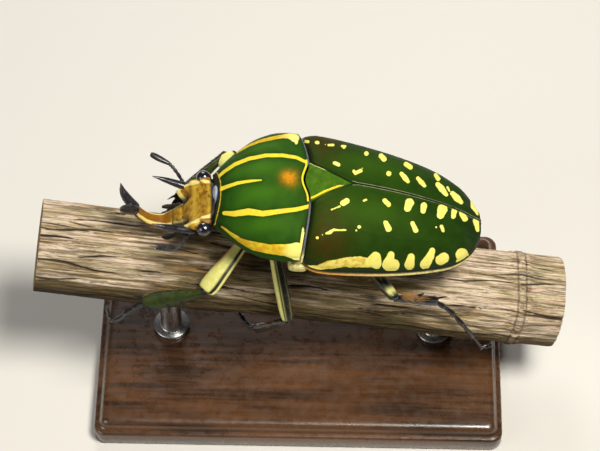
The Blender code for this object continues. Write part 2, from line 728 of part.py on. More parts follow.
def build_horn(parts, cutters, frame, shell):
    shaft = add_object("horn_shaft", loft_mesh("horn_shaft", horn_rings()), parts, frame, "ochre")
    apply_boolean(shaft, "DIFFERENCE", shell)
    root = add_cutter("horn_cutter", loft_mesh("horn_cutter", horn_rings(GAP)), cutters, frame)
    prongs = []
    for side in (-1, 1):
        rows = [(x, y * side, z, radius) for x, y, z, radius in PRONG_PATH]
        rows = [[value * MM for value in row] for row in smooth_path(rows, 7)]
        prongs.append(tube_mesh("prong", rows))
    fork = add_object("horn_fork", prongs[0], parts, frame, "black")
    fuse(fork, prongs[1:])
    apply_boolean(fork, "DIFFERENCE", root)


def add_eye(name, side, parts, frame, shell):
    shape = bmesh.new()
    bmesh.ops.create_uvsphere(shape, u_segments=14, v_segments=9, radius=EYE_RADIUS)
    bmesh.ops.translate(shape, verts=shape.verts, vec=mirrored(EYE_PLACE, side))
    mesh = bpy.data.meshes.new("eye")
    shape.to_mesh(mesh)
    shape.free()
    eye = add_object("eye_" + name, mesh, parts, frame, "black")
    apply_boolean(eye, "DIFFERENCE", shell)


def add_antenna(name, side, parts, frame, shell):
    """A beaded stalk that ends in a club of three leaves."""
    path = [mirrored(point, side) for point in ANTENNA_STALK[name]]
    count = 2 * STALK_BEADS + 1
    rows = []
    for k, point in enumerate(smooth_path(path, count)):
        bead = STALK_RADIUS * (1.15 if k % 2 else 0.8)
        rows.append((*point, bead))
    stalk = add_object("antenna_" + name, tube_mesh("stalk", rows, 1), parts, frame, "black")
    root, tip = path[-1], mirrored(ANTENNA_TIP[name], side)
    along = (tip - root).normalized()
    across = along.cross(Vector((0, 0, 1))).normalized()
    leaves = []
    for offset in LAMELLA_SPREAD:
        lift = across.cross(along) * offset * MM
        start = root - along * 0.3 * MM + lift * 0.4
        leaves.append(limb_mesh("leaf", start, tip + lift, LAMELLA_PROFILE, across))
    fuse(stalk, leaves)
    apply_boolean(stalk, "DIFFERENCE", shell)


def build_leg(name, leg, parts, cutters, frame, root_cutter, beetle_to_branch):
    pair = name.split("_")[0]
    coxa = beetle_to_branch @ millimetres(leg["coxa"])
    knee, ankle = millimetres(leg["knee"]), millimetres(leg["ankle"])
    broad = Vector(leg["broad"])
    lower = (ankle - knee).normalized()
    femur_profile = FEMUR_PROFILES[pair]
    femur = add_object(
        "femur_" + name, limb_mesh("femur", coxa, knee, femur_profile, lower), parts, frame, "cream")
    apply_boolean(femur, "DIFFERENCE", root_cutter)
    knee_cutter = add_cutter(
        "knee_cutter_" + name, limb_mesh("knee", coxa, knee, femur_profile, lower, GAP), cutters, frame)
    profile = TIBIA_PROFILES[pair]
    colour = "dark_green" if pair == "fore" else "black"
    start = knee - lower * 0.4 * MM
    tibia = add_object(
        "tibia_" + name, limb_mesh("tibia", start, ankle, profile, broad), parts, frame, colour)
    fuse(tibia, tibia_teeth(pair, start, ankle, profile, broad))
    apply_boolean(tibia, "DIFFERENCE", knee_cutter)
    ankle_cutter = add_cutter(
        "ankle_cutter_" + name, limb_mesh("ankle", start, ankle, profile, broad, GAP), cutters, frame)
    toes = [millimetres(point) for point in leg["toes"]]
    claws = millimetres(leg["claws"])
    path = [ankle - lower * 0.5 * MM, *toes]
    tarsus = add_object(
        "tarsus_" + name, tube_mesh("tarsus", tarsus_rows(path), 1), parts, frame, "black")
    fuse(tarsus, claw_meshes(toes, claws))
    apply_boolean(tarsus, "DIFFERENCE", ankle_cutter)


def tibia_teeth(pair, start, end, profile, broad):
    """Teeth along the outer edge and a pair of spurs beside the ankle."""
    along = (end - start).normalized()
    flat = (broad - broad.dot(along) * along).normalized()
    meshes = []
    for share in TIBIA_TEETH[pair]:
        breadth = read_stations(profile, share)[0] * MM
        root = start.lerp(end, share) + flat * breadth * 0.4
        tip = start.lerp(end, share) + flat * (breadth + TOOTH_LENGTH) + along * 0.5 * MM
        rows = [(*root, TOOTH_RADIUS), (*root.lerp(tip, 0.55), TOOTH_RADIUS * 0.75), (*tip, TIP_RADIUS)]
        meshes.append(tube_mesh("tooth", rows, 1))
    for turn in (-1, 1):
        root = end - along * 0.7 * MM + flat * SPUR_SIDE * turn
        tip = end + along * SPUR_LENGTH + flat * (SPUR_SIDE + SPUR_SPLAY) * turn
        rows = [(*root, SPUR_RADIUS), (*root.lerp(tip, 0.5), SPUR_RADIUS * 0.8), (*tip, TIP_RADIUS)]
        meshes.append(tube_mesh("spur", rows, 1))
    return meshes


def tarsus_rows(path):
    """The beaded foot: each segment widens to its far end."""
    rows = []
    count = 3 * TARSUS_SEGMENTS
    for k, point in enumerate(smooth_path(path, count + 1)):
        step = k % 3
        radius = TARSUS_RADIUS * (0.72, 0.95, 1.15)[step]
        rows.append((*point, radius * (1 - 0.15 * k / count)))
    return rows


def claw_meshes(toes, tip):
    """Two hooked claws side by side at the end of the foot."""
    root = toes[-1]
    forward = (toes[-1] - toes[-2]).normalized()
    across = forward.cross(tip - root).normalized()
    meshes = []
    for side in (-1, 1):
        end = tip + across * CLAW_SPREAD * side
        middle = root.lerp(end, 0.5) + forward * 0.5 * MM
        rows = [
            (*(root - forward * 0.3 * MM), CLAW_RADIUS), (*root.lerp(middle, 0.6), CLAW_RADIUS),
            (*middle, CLAW_RADIUS * 0.85), (*middle.lerp(end, 0.6), CLAW_RADIUS * 0.55), (*end, TIP_RADIUS),
        ]
        meshes.append(tube_mesh("claw", rows, 1))
    return meshes


def main():
    clear_scene()
    parts = new_collection("giant_african_fruit_beetle")
    cutters = new_collection("cutters")
    branch_frame = bpy.data.objects.new("branch_frame", None)
    branch_frame.location = (0, 0, PERCH_HEIGHT)
    branch_frame.rotation_euler = (0, PERCH_TILT, 0)
    beetle_frame = bpy.data.objects.new("beetle_frame", None)
    beetle_frame.parent = branch_frame
    beetle_frame.location = BEETLE_PLACE
    beetle_frame.rotation_euler = (0, 0, BEETLE_YAW)
    for frame in (branch_frame, beetle_frame):
        parts.objects.link(frame)
    beetle_to_branch = Matrix.Translation(BEETLE_PLACE) @ Matrix.Rotation(BEETLE_YAW, 4, "Z")
    build_stand(parts, cutters, branch_frame)
    collar = add_cutter(
        "pronotum_cutter", loft_mesh("pronotum_cutter", pronotum_rings(GAP)), cutters, beetle_frame)
    below = underside_rings(THORAX_START - 3 * GAP, ABDOMEN_END, THORAX_RINGS + ABDOMEN_RINGS, GAP)
    below = add_cutter("underside_cutter", loft_mesh("underside_cutter", below), cutters, beetle_frame)
    build_body(parts, beetle_frame, collar)
    build_epimera(parts, beetle_frame, (collar, below))
    build_head(parts, cutters, beetle_frame, collar)
    for name, leg in LEGS.items():
        root_cutter = collar if name.startswith("fore") else below
        build_leg(name, leg, parts, cutters, branch_frame, root_cutter, beetle_to_branch)


main()
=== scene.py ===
"""The looks of a male giant African fruit beetle, life size, gripping a short branch on a stand.

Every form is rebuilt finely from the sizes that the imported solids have. Sizes are in
millimetres in two local frames: the branch's (its axis is X) and the beetle's (origin on the
midline at the hind edge of the pronotum, X to the tail, Y to its right side, Z up).
"""
import math
import random

import bmesh
import bpy
import numpy as np
from mathutils import Matrix, Vector, noise


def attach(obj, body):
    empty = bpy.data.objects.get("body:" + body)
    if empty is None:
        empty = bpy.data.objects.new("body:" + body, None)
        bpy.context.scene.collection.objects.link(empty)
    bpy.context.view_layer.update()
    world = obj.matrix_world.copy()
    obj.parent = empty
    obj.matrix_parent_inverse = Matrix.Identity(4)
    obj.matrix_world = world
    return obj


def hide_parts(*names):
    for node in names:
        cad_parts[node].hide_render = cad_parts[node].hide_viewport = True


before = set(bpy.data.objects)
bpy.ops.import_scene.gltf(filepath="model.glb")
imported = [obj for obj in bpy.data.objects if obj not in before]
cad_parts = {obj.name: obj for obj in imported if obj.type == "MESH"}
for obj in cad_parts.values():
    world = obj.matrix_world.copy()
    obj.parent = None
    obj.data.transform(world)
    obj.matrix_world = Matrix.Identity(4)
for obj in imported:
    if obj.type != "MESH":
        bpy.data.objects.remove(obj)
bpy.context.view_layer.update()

MM = 0.001
GAP = 0.3
PERCH_HEIGHT = 27.5
PERCH_TILT = math.radians(10)
BRANCH = Matrix.Translation((0, 0, PERCH_HEIGHT * MM)) @ Matrix.Rotation(PERCH_TILT, 4, "Y")
BEETLE_IN_BRANCH = Matrix.Translation(Vector((-4.9, 1.8, 31.3)) * MM) @ Matrix.Rotation(
    math.radians(2.8), 4, "Z")
BEETLE = BRANCH @ BEETLE_IN_BRANCH
WORLD = Matrix.Identity(4)

# The photo's view: its camera looks past the beetle's middle, so that the base shows too
AZIMUTH, ELEVATION, DISTANCE = math.radians(1.0), math.radians(56.0), 420.0
PIXELS_PER_MM = 5.25
PHOTO_WIDTH = 600
PHOTO_MIDDLE = (300.0, 225.5)
AIM = Vector((0.61, 1.8, 59.18))
BACK = Vector((
    math.sin(AZIMUTH) * math.cos(ELEVATION), -math.cos(AZIMUTH) * math.cos(ELEVATION), math.sin(ELEVATION)))
RIGHT = Vector((math.cos(AZIMUTH), math.sin(AZIMUTH), 0.0))
CAMERA = AIM + BACK * DISTANCE
TARGET = AIM - (RIGHT * 3.5 + BACK.cross(RIGHT) * 46.5) / PIXELS_PER_MM

# Stations of the smooth lofts, as in the solids
PRONOTUM = (  # x, half width, margin height, crest height, underside height
    (-16.0, 5.6, -9.8, -5.8, -13.6), (-14.6, 7.3, -9.5, -4.5, -15.0), (-12.0, 9.9, -8.9, -2.9, -16.0),
    (-8.5, 12.6, -8.1, -1.4, -16.3), (-5.0, 14.0, -7.4, -0.5, -15.4), (-2.0, 14.3, -7.0, -0.1, -12.6),
    (0.0, 14.2, -6.9, -0.05, -10.6),
)
ELYTRA = (  # x, half width, margin height, crest height
    (0.7, 13.5, -8.0, -1.0), (1.5, 14.2, -8.3, -0.3), (4.0, 14.8, -8.8, 0.1), (10.0, 14.3, -9.7, -0.2),
    (19.0, 13.0, -10.8, -2.0), (27.0, 11.2, -11.6, -4.6), (32.0, 9.2, -12.3, -7.0),
    (35.7, 6.0, -12.8, -9.3), (37.4, 2.8, -12.4, -10.3),
)
UNDERSIDE = (  # x, half width, lowest height
    (-3.6, 9.4, -17.0), (0.0, 10.8, -17.9), (5.0, 13.6, -18.0), (12.0, 13.5, -17.5), (20.0, 12.3, -16.8),
    (27.0, 10.7, -16.4), (32.0, 8.6, -15.9), (35.4, 5.4, -15.0), (36.8, 3.0, -14.1),
)
HEAD = (  # x, margin height, half width at the margins, hollow between them, half width, depth
    (-15.9, -9.0, 3.4, -1.4, 4.0, 4.4), (-16.8, -9.4, 3.9, -1.1, 4.6, 4.6), (-18.0, -9.8, 4.2, 0.2, 5.1, 4.9),
    (-19.3, -10.5, 4.45, 1.2, 5.2, 5.0), (-20.6, -11.6, 4.7, 1.9, 5.1, 4.9),
    (-21.7, -12.6, 4.6, 2.5, 4.85, 4.6), (-22.7, -13.5, 4.2, 2.8, 4.4, 4.3),
)
NOTCH, NOTCH_SIDE, NOTCH_WIDTH = 1.7, 2.75, 0.95
HORN_PATH = (  # x, height, half width, half thickness
    (-21.0, -15.2, 2.3, 1.3), (-22.4, -16.3, 1.95, 0.95), (-24.2, -18.05, 1.65, 0.95),
    (-25.9, -18.3, 1.45, 0.95), (-27.9, -17.6, 1.3, 0.9), (-29.6, -16.0, 1.2, 0.85), (-30.7, -14.4, 1.2, 0.8),
)
PRONG_PATH = (  # x, side, height, radius, as in the two paths below
    (-30.5, 0.35, -14.5, 0.95), (-31.2, 0.6, -13.85, 0.95), (-32.1, 1.1, -13.2, 0.95),
    (-33.2, 2.0, -12.0, 0.7), (-33.85, 3.0, -10.6, 0.1),
)
SIDE_HORN_PATH = (
    (-19.4, 4.7, -13.35, 0.95), (-20.6, 4.95, -13.05, 0.9), (-22.5, 5.15, -12.6, 0.78),
    (-25.3, 5.4, -11.75, 0.52), (-27.7, 5.45, -11.0, 0.06),
)
PALP_PATH = (
    (-20.0, 2.4, -16.2, 0.5), (-21.9, 3.2, -17.3, 0.5), (-23.5, 3.6, -18.4, 0.45), (-24.7, 3.5, -18.6, 0.3))
ANTENNA_STALK = {  # x, side, height
    "left": ((-20.1, 4.3, -15.0), (-21.0, 6.6, -14.6), (-22.0, 8.3, -13.9), (-22.9, 9.2, -13.7)),
    "right": ((-20.1, 4.3, -15.0), (-21.4, 6.6, -13.9), (-23.2, 7.9, -11.8), (-24.4, 9.0, -11.4)),
}
ANTENNA_TIP = {"left": (-26.8, 10.3, -11.3), "right": (-28.1, 10.7, -11.1)}
EPIMERON = (  # height, front x, rear x, inner side, outer side
    (-12.2, -1.0, 1.6, 10.9, 12.8), (-11.0, -1.5, 2.1, 11.1, 14.0), (-9.6, -1.5, 2.1, 11.3, 14.3),
    (-9.2, -1.3, 1.9, 11.3, 14.2),
)
LEGS = {  # coxa in the beetle's frame, then in the branch's: knee, ankle, toes, claws, broad side
    "fore_left": (
        (-8.5, -4.6, -15.0), (-20.3, -12.6, 10.0), (-31.6, -11.8, 1.9),
        ((-34.1, -12.0, -1.8), (-36.2, -12.2, -5.4), (-37.7, -11.6, -4.6)), (-37.8, -10.4, -1.8),
        (0, -0.45, -0.9)),
    "mid_left": (
        (-3.2, -5.5, -16.3), (-2.7, -12.9, 2.6), (-7.4, -9.5, -7.4),
        ((-8.9, -7.4, -9.6), (-10.6, -4.6, -10.5), (-12.2, -2.4, -10.9)), (-13.9, -0.6, -10.2), (1, 0, 0)),
    "hind_left": (
        (13.2, -4.2, -17.3), (16.7, -11.8, 13.8), (25.8, -8.9, 9.8),
        ((29.3, -9.4, 7.2), (33.4, -10.6, 3.2), (38.2, -10.6, -3.4)), (40.0, -10.3, -1.4), (0, 0, 1)),
    "fore_right": (
        (-8.5, 4.6, -15.0), (-18.2, 16.4, 15.6), (-27.2, 6.8, 11.6),
        ((-28.0, 5.2, 10.6), (-30.0, 3.75, 9.7), (-32.3, 3.2, 9.8)), (-34.3, 3.3, 9.9), (0.5, 0.05, -0.86)),
    "mid_right": (
        (-3.2, 5.5, -16.3), (-4.5, 17.0, 8.2), (-6.2, 12.0, -2.6),
        ((-7.4, 10.9, -5.2), (-9.0, 9.2, -7.6), (-10.8, 7.6, -8.8)), (-12.8, 5.9, -8.6), (1, 0, 0)),
    "hind_right": (
        (13.2, 4.2, -17.3), (18.3, 15.6, 11.6), (28.2, 11.4, 6.4),
        ((31.0, 11.0, 3.8), (34.8, 11.0, 0.0), (38.0, 10.7, -3.2)), (40.0, 10.0, -3.8), (0, 0, 1)),
}
FEMUR_PROFILES = {  # share of the length, half breadth, half thickness
    "fore": ((0.0, 1.1, 1.0), (0.3, 1.55, 1.1), (0.62, 2.05, 1.15), (0.86, 2.3, 1.0), (0.96, 2.05, 0.95),
             (1.0, 1.6, 0.8)),
    "mid": ((0.0, 1.1, 1.0), (0.3, 1.45, 1.2), (0.65, 1.5, 1.3), (0.9, 1.3, 1.2), (1.0, 0.95, 0.9)),
    "hind": ((0.0, 1.1, 1.0), (0.3, 1.45, 1.15), (0.65, 1.5, 1.15), (0.9, 1.3, 1.0), (1.0, 0.95, 0.8)),
}
TIBIA_PROFILES = {
    "fore": ((0.0, 0.75, 0.7), (0.15, 0.95, 0.75), (0.45, 1.55, 0.7), (0.75, 1.85, 0.65), (1.0, 1.2, 0.6)),
    "mid": ((0.0, 0.7, 0.65), (0.2, 0.85, 0.75), (0.6, 0.95, 0.8), (0.9, 1.15, 0.9), (1.0, 1.0, 0.8)),
    "hind": ((0.0, 0.75, 0.65), (0.2, 0.9, 0.75), (0.6, 1.1, 0.85), (0.9, 1.25, 0.9), (1.0, 1.1, 0.8)),
}
TIBIA_TEETH = {"fore": (0.42, 0.64, 0.94), "mid": (0.55,), "hind": (0.5,)}
SCUTELLUM_START, SCUTELLUM_TIP, SCUTELLUM_HALF_WIDTH, SCUTELLUM_CREST_START = 0.4, 9.6, 4.25, 1.6
DORSAL_FULLNESS, UNDERSIDE_FULLNESS, BELLY_FULLNESS = 2.2, 1.35, (2.4, 2.2)
FAR = 9.0       # a distance that no marking reaches

# Markings, each a stroke of points with a half width. Those on the side that the photo shows are
# in pixels of an enlarged part of it, which starts at a place of the photo and is so many times larger.
FRONT_PART = (100.0, 130.0, 7.127)
REAR_PART = (290.0, 120.0, 7.467)
PRONOTUM_PALE = (  # the midline, then the stripes beside it, the right one first
    ((842, 428, 15), (900, 405, 13), (980, 378, 12), (1080, 362, 9), (1150, 357, 4)),
    ((832, 345, 9), (880, 300, 11), (960, 245, 13), (1060, 205, 13), (1180, 181, 13), (1300, 180, 13),
     (1400, 196, 12), (1460, 224, 10), (1492, 246, 10)),
    ((885, 592, 14), (960, 597, 20), (1060, 582, 24), (1160, 596, 20), (1280, 580, 17), (1400, 566, 15),
     (1480, 546, 13), (1530, 516, 13)),
)
PRONOTUM_SIDE = (  # the side bands, which widen to the hind angles
    ((975, 162, 5), (1050, 116, 8), (1130, 82, 10), (1220, 60, 12), (1300, 45, 13), (1350, 42, 18)),
    ((1345, 42, 18), (1385, 55, 30)), ((1395, 60, 26), (1398, 92, 10)),
    ((868, 690, 6), (940, 745, 12), (1000, 787, 17), (1050, 810, 24), (1100, 828, 31), (1200, 848, 33),
     (1320, 856, 42), (1400, 864, 62), (1440, 872, 64)),
    ((1440, 800, 14), (1447, 700, 5)),
)
SPOTS_LEFT = (
    ((395, 622, 21), (424, 604, 21)), ((310, 670, 6), (345, 655, 4), (372, 645, 7)),
    ((552, 603, 8), (568, 596, 8)), ((708, 602, 18), (737, 632, 17)), ((893, 618, 33), (878, 660, 25)),
    ((1000, 640, 25), (994, 680, 19)), ((1138, 666, 38), (1124, 710, 28)), ((1226, 680, 22), (1220, 722, 16)),
    ((1284, 698, 22), (1306, 738, 21)), ((1388, 752, 23), (1401, 822, 13)), ((715, 768, 18), (736, 812, 24)),
    ((914, 770, 15), (938, 822, 20)), ((1092, 800, 7),), ((1132, 795, 13), (1143, 826, 12)),
    ((270, 848, 7), (300, 838, 14), (325, 820, 10), (368, 822, 6), (415, 822, 6)), ((242, 858, 6),),
    ((203, 880, 11),), ((518, 798, 14),), ((495, 825, 7),),
    ((590, 1060, 30), (640, 1022, 38), (645, 1075, 38)), ((755, 1005, 25), (735, 1080, 46), (775, 1082, 44)),
    ((905, 1022, 27), (892, 1080, 38)), ((1062, 976, 22), (1046, 1020, 30), (1008, 1080, 37)),
    ((1148, 1030, 40), (1124, 1046, 38)), ((1284, 1006, 48), (1302, 1030, 42), (1262, 1058, 22)),
    ((1412, 918, 7), (1402, 955, 9)),
)
SHOULDER_BAND = (
    ((115, 1096, 12), (200, 1103, 17), (300, 1080, 32), (400, 1064, 34), (510, 1058, 42), (600, 1068, 34)),
)
SPOTS_RIGHT = (
    ((116, 160, 11), (135, 162, 11)), ((196, 168, 11), (208, 169, 12)), ((288, 188, 9), (322, 186, 10)),
    ((264, 183, 5),), ((390, 194, 9), (414, 195, 8), (402, 206, 10)), ((570, 250, 17),),
    ((680, 268, 19), (702, 291, 20)), ((866, 328, 17), (900, 353, 18)), ((1088, 410, 14), (1107, 440, 16)),
    ((1358, 600, 12), (1371, 648, 20), (1400, 702, 9)), ((334, 321, 14), (362, 333, 14)),
    ((476, 380, 11), (488, 398, 13), (528, 378, 13)), ((540, 361, 5),), ((738, 400, 19),),
    ((832, 400, 14), (857, 430, 20), (881, 458, 14)), ((954, 434, 13), (980, 464, 18), (1005, 490, 13)),
    ((1104, 480, 18), (1134, 516, 24), (1166, 556, 15)), ((1176, 503, 9), (1190, 530, 6)),
    ((1214, 548, 18), (1246, 582, 26), (1279, 615, 15)),
)
# The same on the side turned away: place along and arc from the midline, in mm
HIDDEN_SIDE = (
    ((-13.6, 7.0, 0.2), (-11.4, 8.6, 0.3), (-9.6, 9.8, 0.4), (-7.3, 11.0, 0.55), (-5.0, 12.3, 0.8),
     (-3.0, 13.3, 1.3), (-1.4, 14.0, 1.8), (0.9, 14.1, 2.1)),
)
HIDDEN_SPOTS = (
    ((1.2, 18.3, 0.12), (5.6, 17.7, 0.85), (10.9, 16.4, 1.35), (14.3, 15.8, 1.1), (14.9, 14.2, 1.1)),
    ((17.7, 15.2, 1.7), (18.0, 14.1, 1.35), (17.6, 13.2, 0.8)), ((21.7, 14.5, 1.25), (22.1, 13.2, 1.0)),
    ((24.9, 13.4, 1.45), (26.2, 10.8, 0.85)), ((28.7, 11.9, 1.5), (28.4, 11.2, 1.35)), ((33.1, 9.3, 1.9),),
)
# The branch's bark and sawn ends, its stand, the feelers' clubs and the bulges that the legs turn in
PERCH_RADIUS = 9.4
BARK_WAVES = ((0.42, 18, 1.9), (0.36, 9, 0.8), (0.2, 6, 0.4), (0.10, 1.1, 0.9))    # depth, length, width
SAWN_RINGS = ((0.99, 0.06), (0.94, 0.1), (0.85, 0.12), (0.6, 0.14), (0.35, 0.12), (0.12, 0.13))
PLINTH_PROFILE = (  # inset, height
    (0.6, 0.0), (0.15, 0.15), (0.0, 0.6), (0.0, 3.4), (0.12, 3.75), (0.4, 3.95), (0.9, 4.1), (1.25, 4.45),
    (1.45, 5.0), (1.75, 5.5), (2.2, 5.85), (2.8, 5.97), (3.6, 6.0), (9.0, 6.0),
)
ROD_FOOT = (  # radius, height
    (2.1, 6.0), (3.5, 6.0), (3.7, 6.12), (3.75, 6.4), (3.7, 6.9), (3.45, 7.1), (2.5, 7.2), (2.3, 7.35),
    (2.2, 7.6),
)
CLUB_PROFILE = ((0.0, 0.26, 0.2), (0.25, 0.42, 0.21), (0.7, 0.5, 0.22), (1.0, 0.3, 0.16))
COXAE = (  # place, size, turn in degrees
    ((-2.6, 5.2, -15.6), (1.9, 2.6, 2.2), 20), ((12.0, 4.6, -16.2), (1.9, 4.4, 1.9), -14),
    ((7.0, 3.6, -16.6), (4.0, 3.4, 1.75), 0),
)
HAIR_DROOP = ((-0.15, 0.15), (-0.15, 0.15), (-0.25, 0.0))
CAP_RINGS = (0.6, 0.2)      # the sizes of the rings that close a loft's ends
END_RINGS = 4               # and the number of those that round them
SIDES = (("left", -1), ("right", 1))
BLACK = (0.008, 0.009, 0.008)
YELLOW = (0.7, 0.58, 0.025)
PALE = (0.8, 0.74, 0.2)
VELVET = {
    "Sheen_Weight": 0.03, "Sheen_Roughness": 0.4, "Sheen_Tint": (0.5, 0.8, 0.4), "Specular_IOR_Level": 0.14,
    "Specular_Tint": (0.8, 1.0, 0.35)}
SENSOR_WIDTH = 36.0
FLOOR_HALF = 1.6
LAMPS = (  # place, size, watts, colour
    ("key", (0.16, -0.1, 0.52), 0.18, 3.8, (1.0, 0.97, 0.88)),
    ("fill", (-0.5, -0.35, 0.35), 0.35, 1.1, (1.0, 0.98, 0.93)),
    ("back", (-0.1, 0.5, 0.35), 0.22, 1.3, (1.0, 0.98, 0.95)),
)


def ease(share):
    share = np.clip(share, 0.0, 1.0)
    return share * share * (3 - 2 * share)


def power(value, exponent):
    return np.sign(value) * np.abs(value) ** exponent


def bell(value, centre, width):
    return np.exp(-((value - centre) / width) ** 2)


def unit(vector):
    return vector / np.linalg.norm(vector, axis=-1, keepdims=True)


def circle(count):
    return np.linspace(0, 2 * math.pi, count, endpoint=False)


def mirrored(path, side):
    return [(row[0], row[1] * side, *row[2:]) for row in path]


def read_stations(stations, places):
    """Columns of a smooth curve through the stations, one row for each place."""
    rows = np.array(stations, float)
    at = rows[:, 0]
    places = np.atleast_1d(np.array(places, float))
    i = np.clip(np.searchsorted(at, places, side="right") - 1, 0, len(at) - 2)
    span = (at[i + 1] - at[i])[:, None]
    t = np.clip((places - at[i])[:, None] / span, 0.0, 1.0)

    def slope(k):
        low, high = np.maximum(k - 1, 0), np.minimum(k + 1, len(at) - 1)
        return (rows[high] - rows[low]) / (at[high] - at[low])[:, None]

    values = (
        rows[i] * (1 + 2 * t) * (1 - t) ** 2 + rows[i + 1] * t * t * (3 - 2 * t)
        + span * slope(i) * t * (1 - t) ** 2 - span * slope(i + 1) * t * t * (1 - t))
    return values[:, 1:]


def smooth_path(points, count):
    rows = [(float(k), *row) for k, row in enumerate(points)]
    return read_stations(rows, np.linspace(0.0, len(points) - 1.0, count))


def stroke_distance(along, across, strokes):
    """Distance to the nearest edge of the strokes, negative inside them."""
    nearest = np.full(np.shape(along), 99.0)
    for stroke in strokes:
        points = list(stroke) if len(stroke) > 1 else [stroke[0], stroke[0]]
        for (u0, v0, r0), (u1, v1, r1) in zip(points, points[1:]):
            du, dv = u1 - u0, v1 - v0
            long = du * du + dv * dv
            t = np.clip(((along - u0) * du + (across - v0) * dv) / long, 0, 1) if long else 0.0
            away = np.hypot(along - u0 - t * du, across - v0 - t * dv) - (r0 + t * (r1 - r0))
            nearest = np.minimum(nearest, away)
    return nearest


def photo_distance(points, normal, part, strokes):
    """The same in mm as the photo shows it, for points of the beetle; far off where it can't."""
    turn = np.array(BEETLE.to_3x3())
    away = points @ turn.T + np.array(BEETLE.translation) / MM - np.array(CAMERA)
    ahead = np.array((TARGET - CAMERA).normalized())
    right = unit(np.cross(ahead, (0, 0, 1)))
    scale_here = PIXELS_PER_MM * DISTANCE / (away @ ahead)
    x = PHOTO_MIDDLE[0] + scale_here * (away @ right)
    y = PHOTO_MIDDLE[1] - scale_here * (away @ np.cross(right, ahead))
    left, top, scale = part
    away = stroke_distance((x - left) * scale, (y - top) * scale, strokes) / scale / PIXELS_PER_MM
    return np.where(normal @ turn.T @ np.array(BACK) > 0.06, away, FAR)


def grid_faces(rows, columns, wrap=True):
    """Quads of a grid of points held row after row."""
    index = np.arange(rows * columns).reshape(rows, columns)
    if wrap:
        index = np.concatenate([index, index[:, :1]], 1)
    a, b, c, d = index[:-1, :-1], index[:-1, 1:], index[1:, 1:], index[1:, :-1]
    return np.stack([a, b, c, d], -1).reshape(-1, 4)


def capped(grid):
    """Points and faces of a closed loft: each end gets rings that shrink to its middle."""
    rings = list(grid)
    for end in (0, -1):
        ring = rings[end]
        middle = ring.mean(0)
        for share in CAP_RINGS:
            inner = middle + (ring - middle) * share
            rings = [inner] + rings if end == 0 else rings + [inner]
    rows, columns = len(rings), len(rings[0])
    points = np.concatenate(rings + [rings[0].mean(0)[None], rings[-1].mean(0)[None]])
    faces = grid_faces(rows, columns).tolist()
    first, last, base = rows * columns, rows * columns + 1, (rows - 1) * columns
    for k in range(columns):
        nxt = (k + 1) % columns
        faces += [(first, nxt, k), (last, base + k, base + nxt)]
    return points, faces


def rounded_ends(grid, radius):
    """Ease the first and last rings of a loft inward, so that its ends have no sharp edge."""
    rings = list(grid)
    for end in (0, -1):
        ring, beside = rings[end], rings[1 if end == 0 else -2]
        outward = unit(ring.mean(0) - beside.mean(0))
        away = ring - ring.mean(0)
        reach = np.linalg.norm(away, axis=1, keepdims=True)
        extra = []
        for k in range(1, END_RINGS + 1):
            turn = math.pi / 2 * k / END_RINGS
            inward = -away / np.maximum(reach, 1e-6) * np.minimum(radius * (1 - math.cos(turn)), reach * 0.9)
            extra.append(ring + inward + outward * radius * math.sin(turn))
        rings = extra[::-1] + rings if end == 0 else rings + extra
    return np.array(rings)


def padded(value, rings):
    return np.pad(value, ((rings, rings), (0, 0)), mode="edge")


def widened(value, columns, fill):
    return np.pad(value, ((0, 0), (0, columns)), constant_values=fill)


def set_values(mesh, points, values):
    for key, value in values.items():
        held = mesh.attributes.new(key, "FLOAT", "POINT")
        held.data.foreach_set("value", np.asarray(value, np.float32))
    place = mesh.attributes.new("place", "FLOAT_VECTOR", "POINT")
    place.data.foreach_set("vector", points.astype(np.float32).ravel())


def finish_piece(mesh, material, slot, *nodes):
    item = bpy.data.objects.new(mesh.name, mesh)
    bpy.context.scene.collection.objects.link(item)
    mesh.materials.clear()
    mesh.materials.append(material)
    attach(item, "root")
    if nodes:
        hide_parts(*nodes)


class Draft:
    """Closed surfaces gathered for one piece, with values kept for each point."""

    def __init__(self, local=BEETLE):
        self.local, self.points, self.faces, self.values, self.count = local, [], [], {}, 0

    def add(self, points, faces, **values):
        for name in {**self.values, **values}:
            held = self.values.setdefault(name, [np.zeros(self.count)] if self.count else [])
            held.append(np.broadcast_to(np.asarray(values.get(name, 0.0), float), len(points)))
        self.faces += [[corner + self.count for corner in face] for face in faces]
        self.points.append(points)
        self.count += len(points)

    def loft(self, grid, lip=0.0, **values):
        """Add a capped loft, its ends rounded by the lip; its values are carried on to the ends."""
        grid, pad = np.asarray(grid), len(CAP_RINGS)
        carried = {
            name: np.broadcast_to(np.asarray(value, float), grid.shape[:2]) for name, value in values.items()}
        if lip:
            grid, pad = rounded_ends(grid, lip), pad + END_RINGS
        self.add(*capped(grid), **{
            name: np.append(padded(value, pad), (value[0].mean(), value[-1].mean()))
            for name, value in carried.items()})

    def mesh(self, name, sharp=None):
        """The mesh with all faces outward, smooth but for edges that are sharper than an angle."""
        points = np.concatenate(self.points)
        placed = points * MM @ np.array(self.local.to_3x3()).T + np.array(self.local.translation)
        mesh = bpy.data.meshes.new(name)
        mesh.from_pydata(placed.tolist(), [], self.faces)
        mesh.shade_smooth()
        set_values(mesh, points, {key: np.concatenate(parts) for key, parts in self.values.items()})
        mesh.update()
        shape = bmesh.new()
        shape.from_mesh(mesh)
        bmesh.ops.recalc_face_normals(shape, faces=shape.faces)
        shape.to_mesh(mesh)
        shape.free()
        if sharp:
            mesh.set_sharp_from_angle(angle=math.radians(sharp))
        return mesh

    def finish(self, name, material, slot, *nodes, sharp=None):
        finish_piece(self.mesh(name, sharp), material, slot, *nodes)


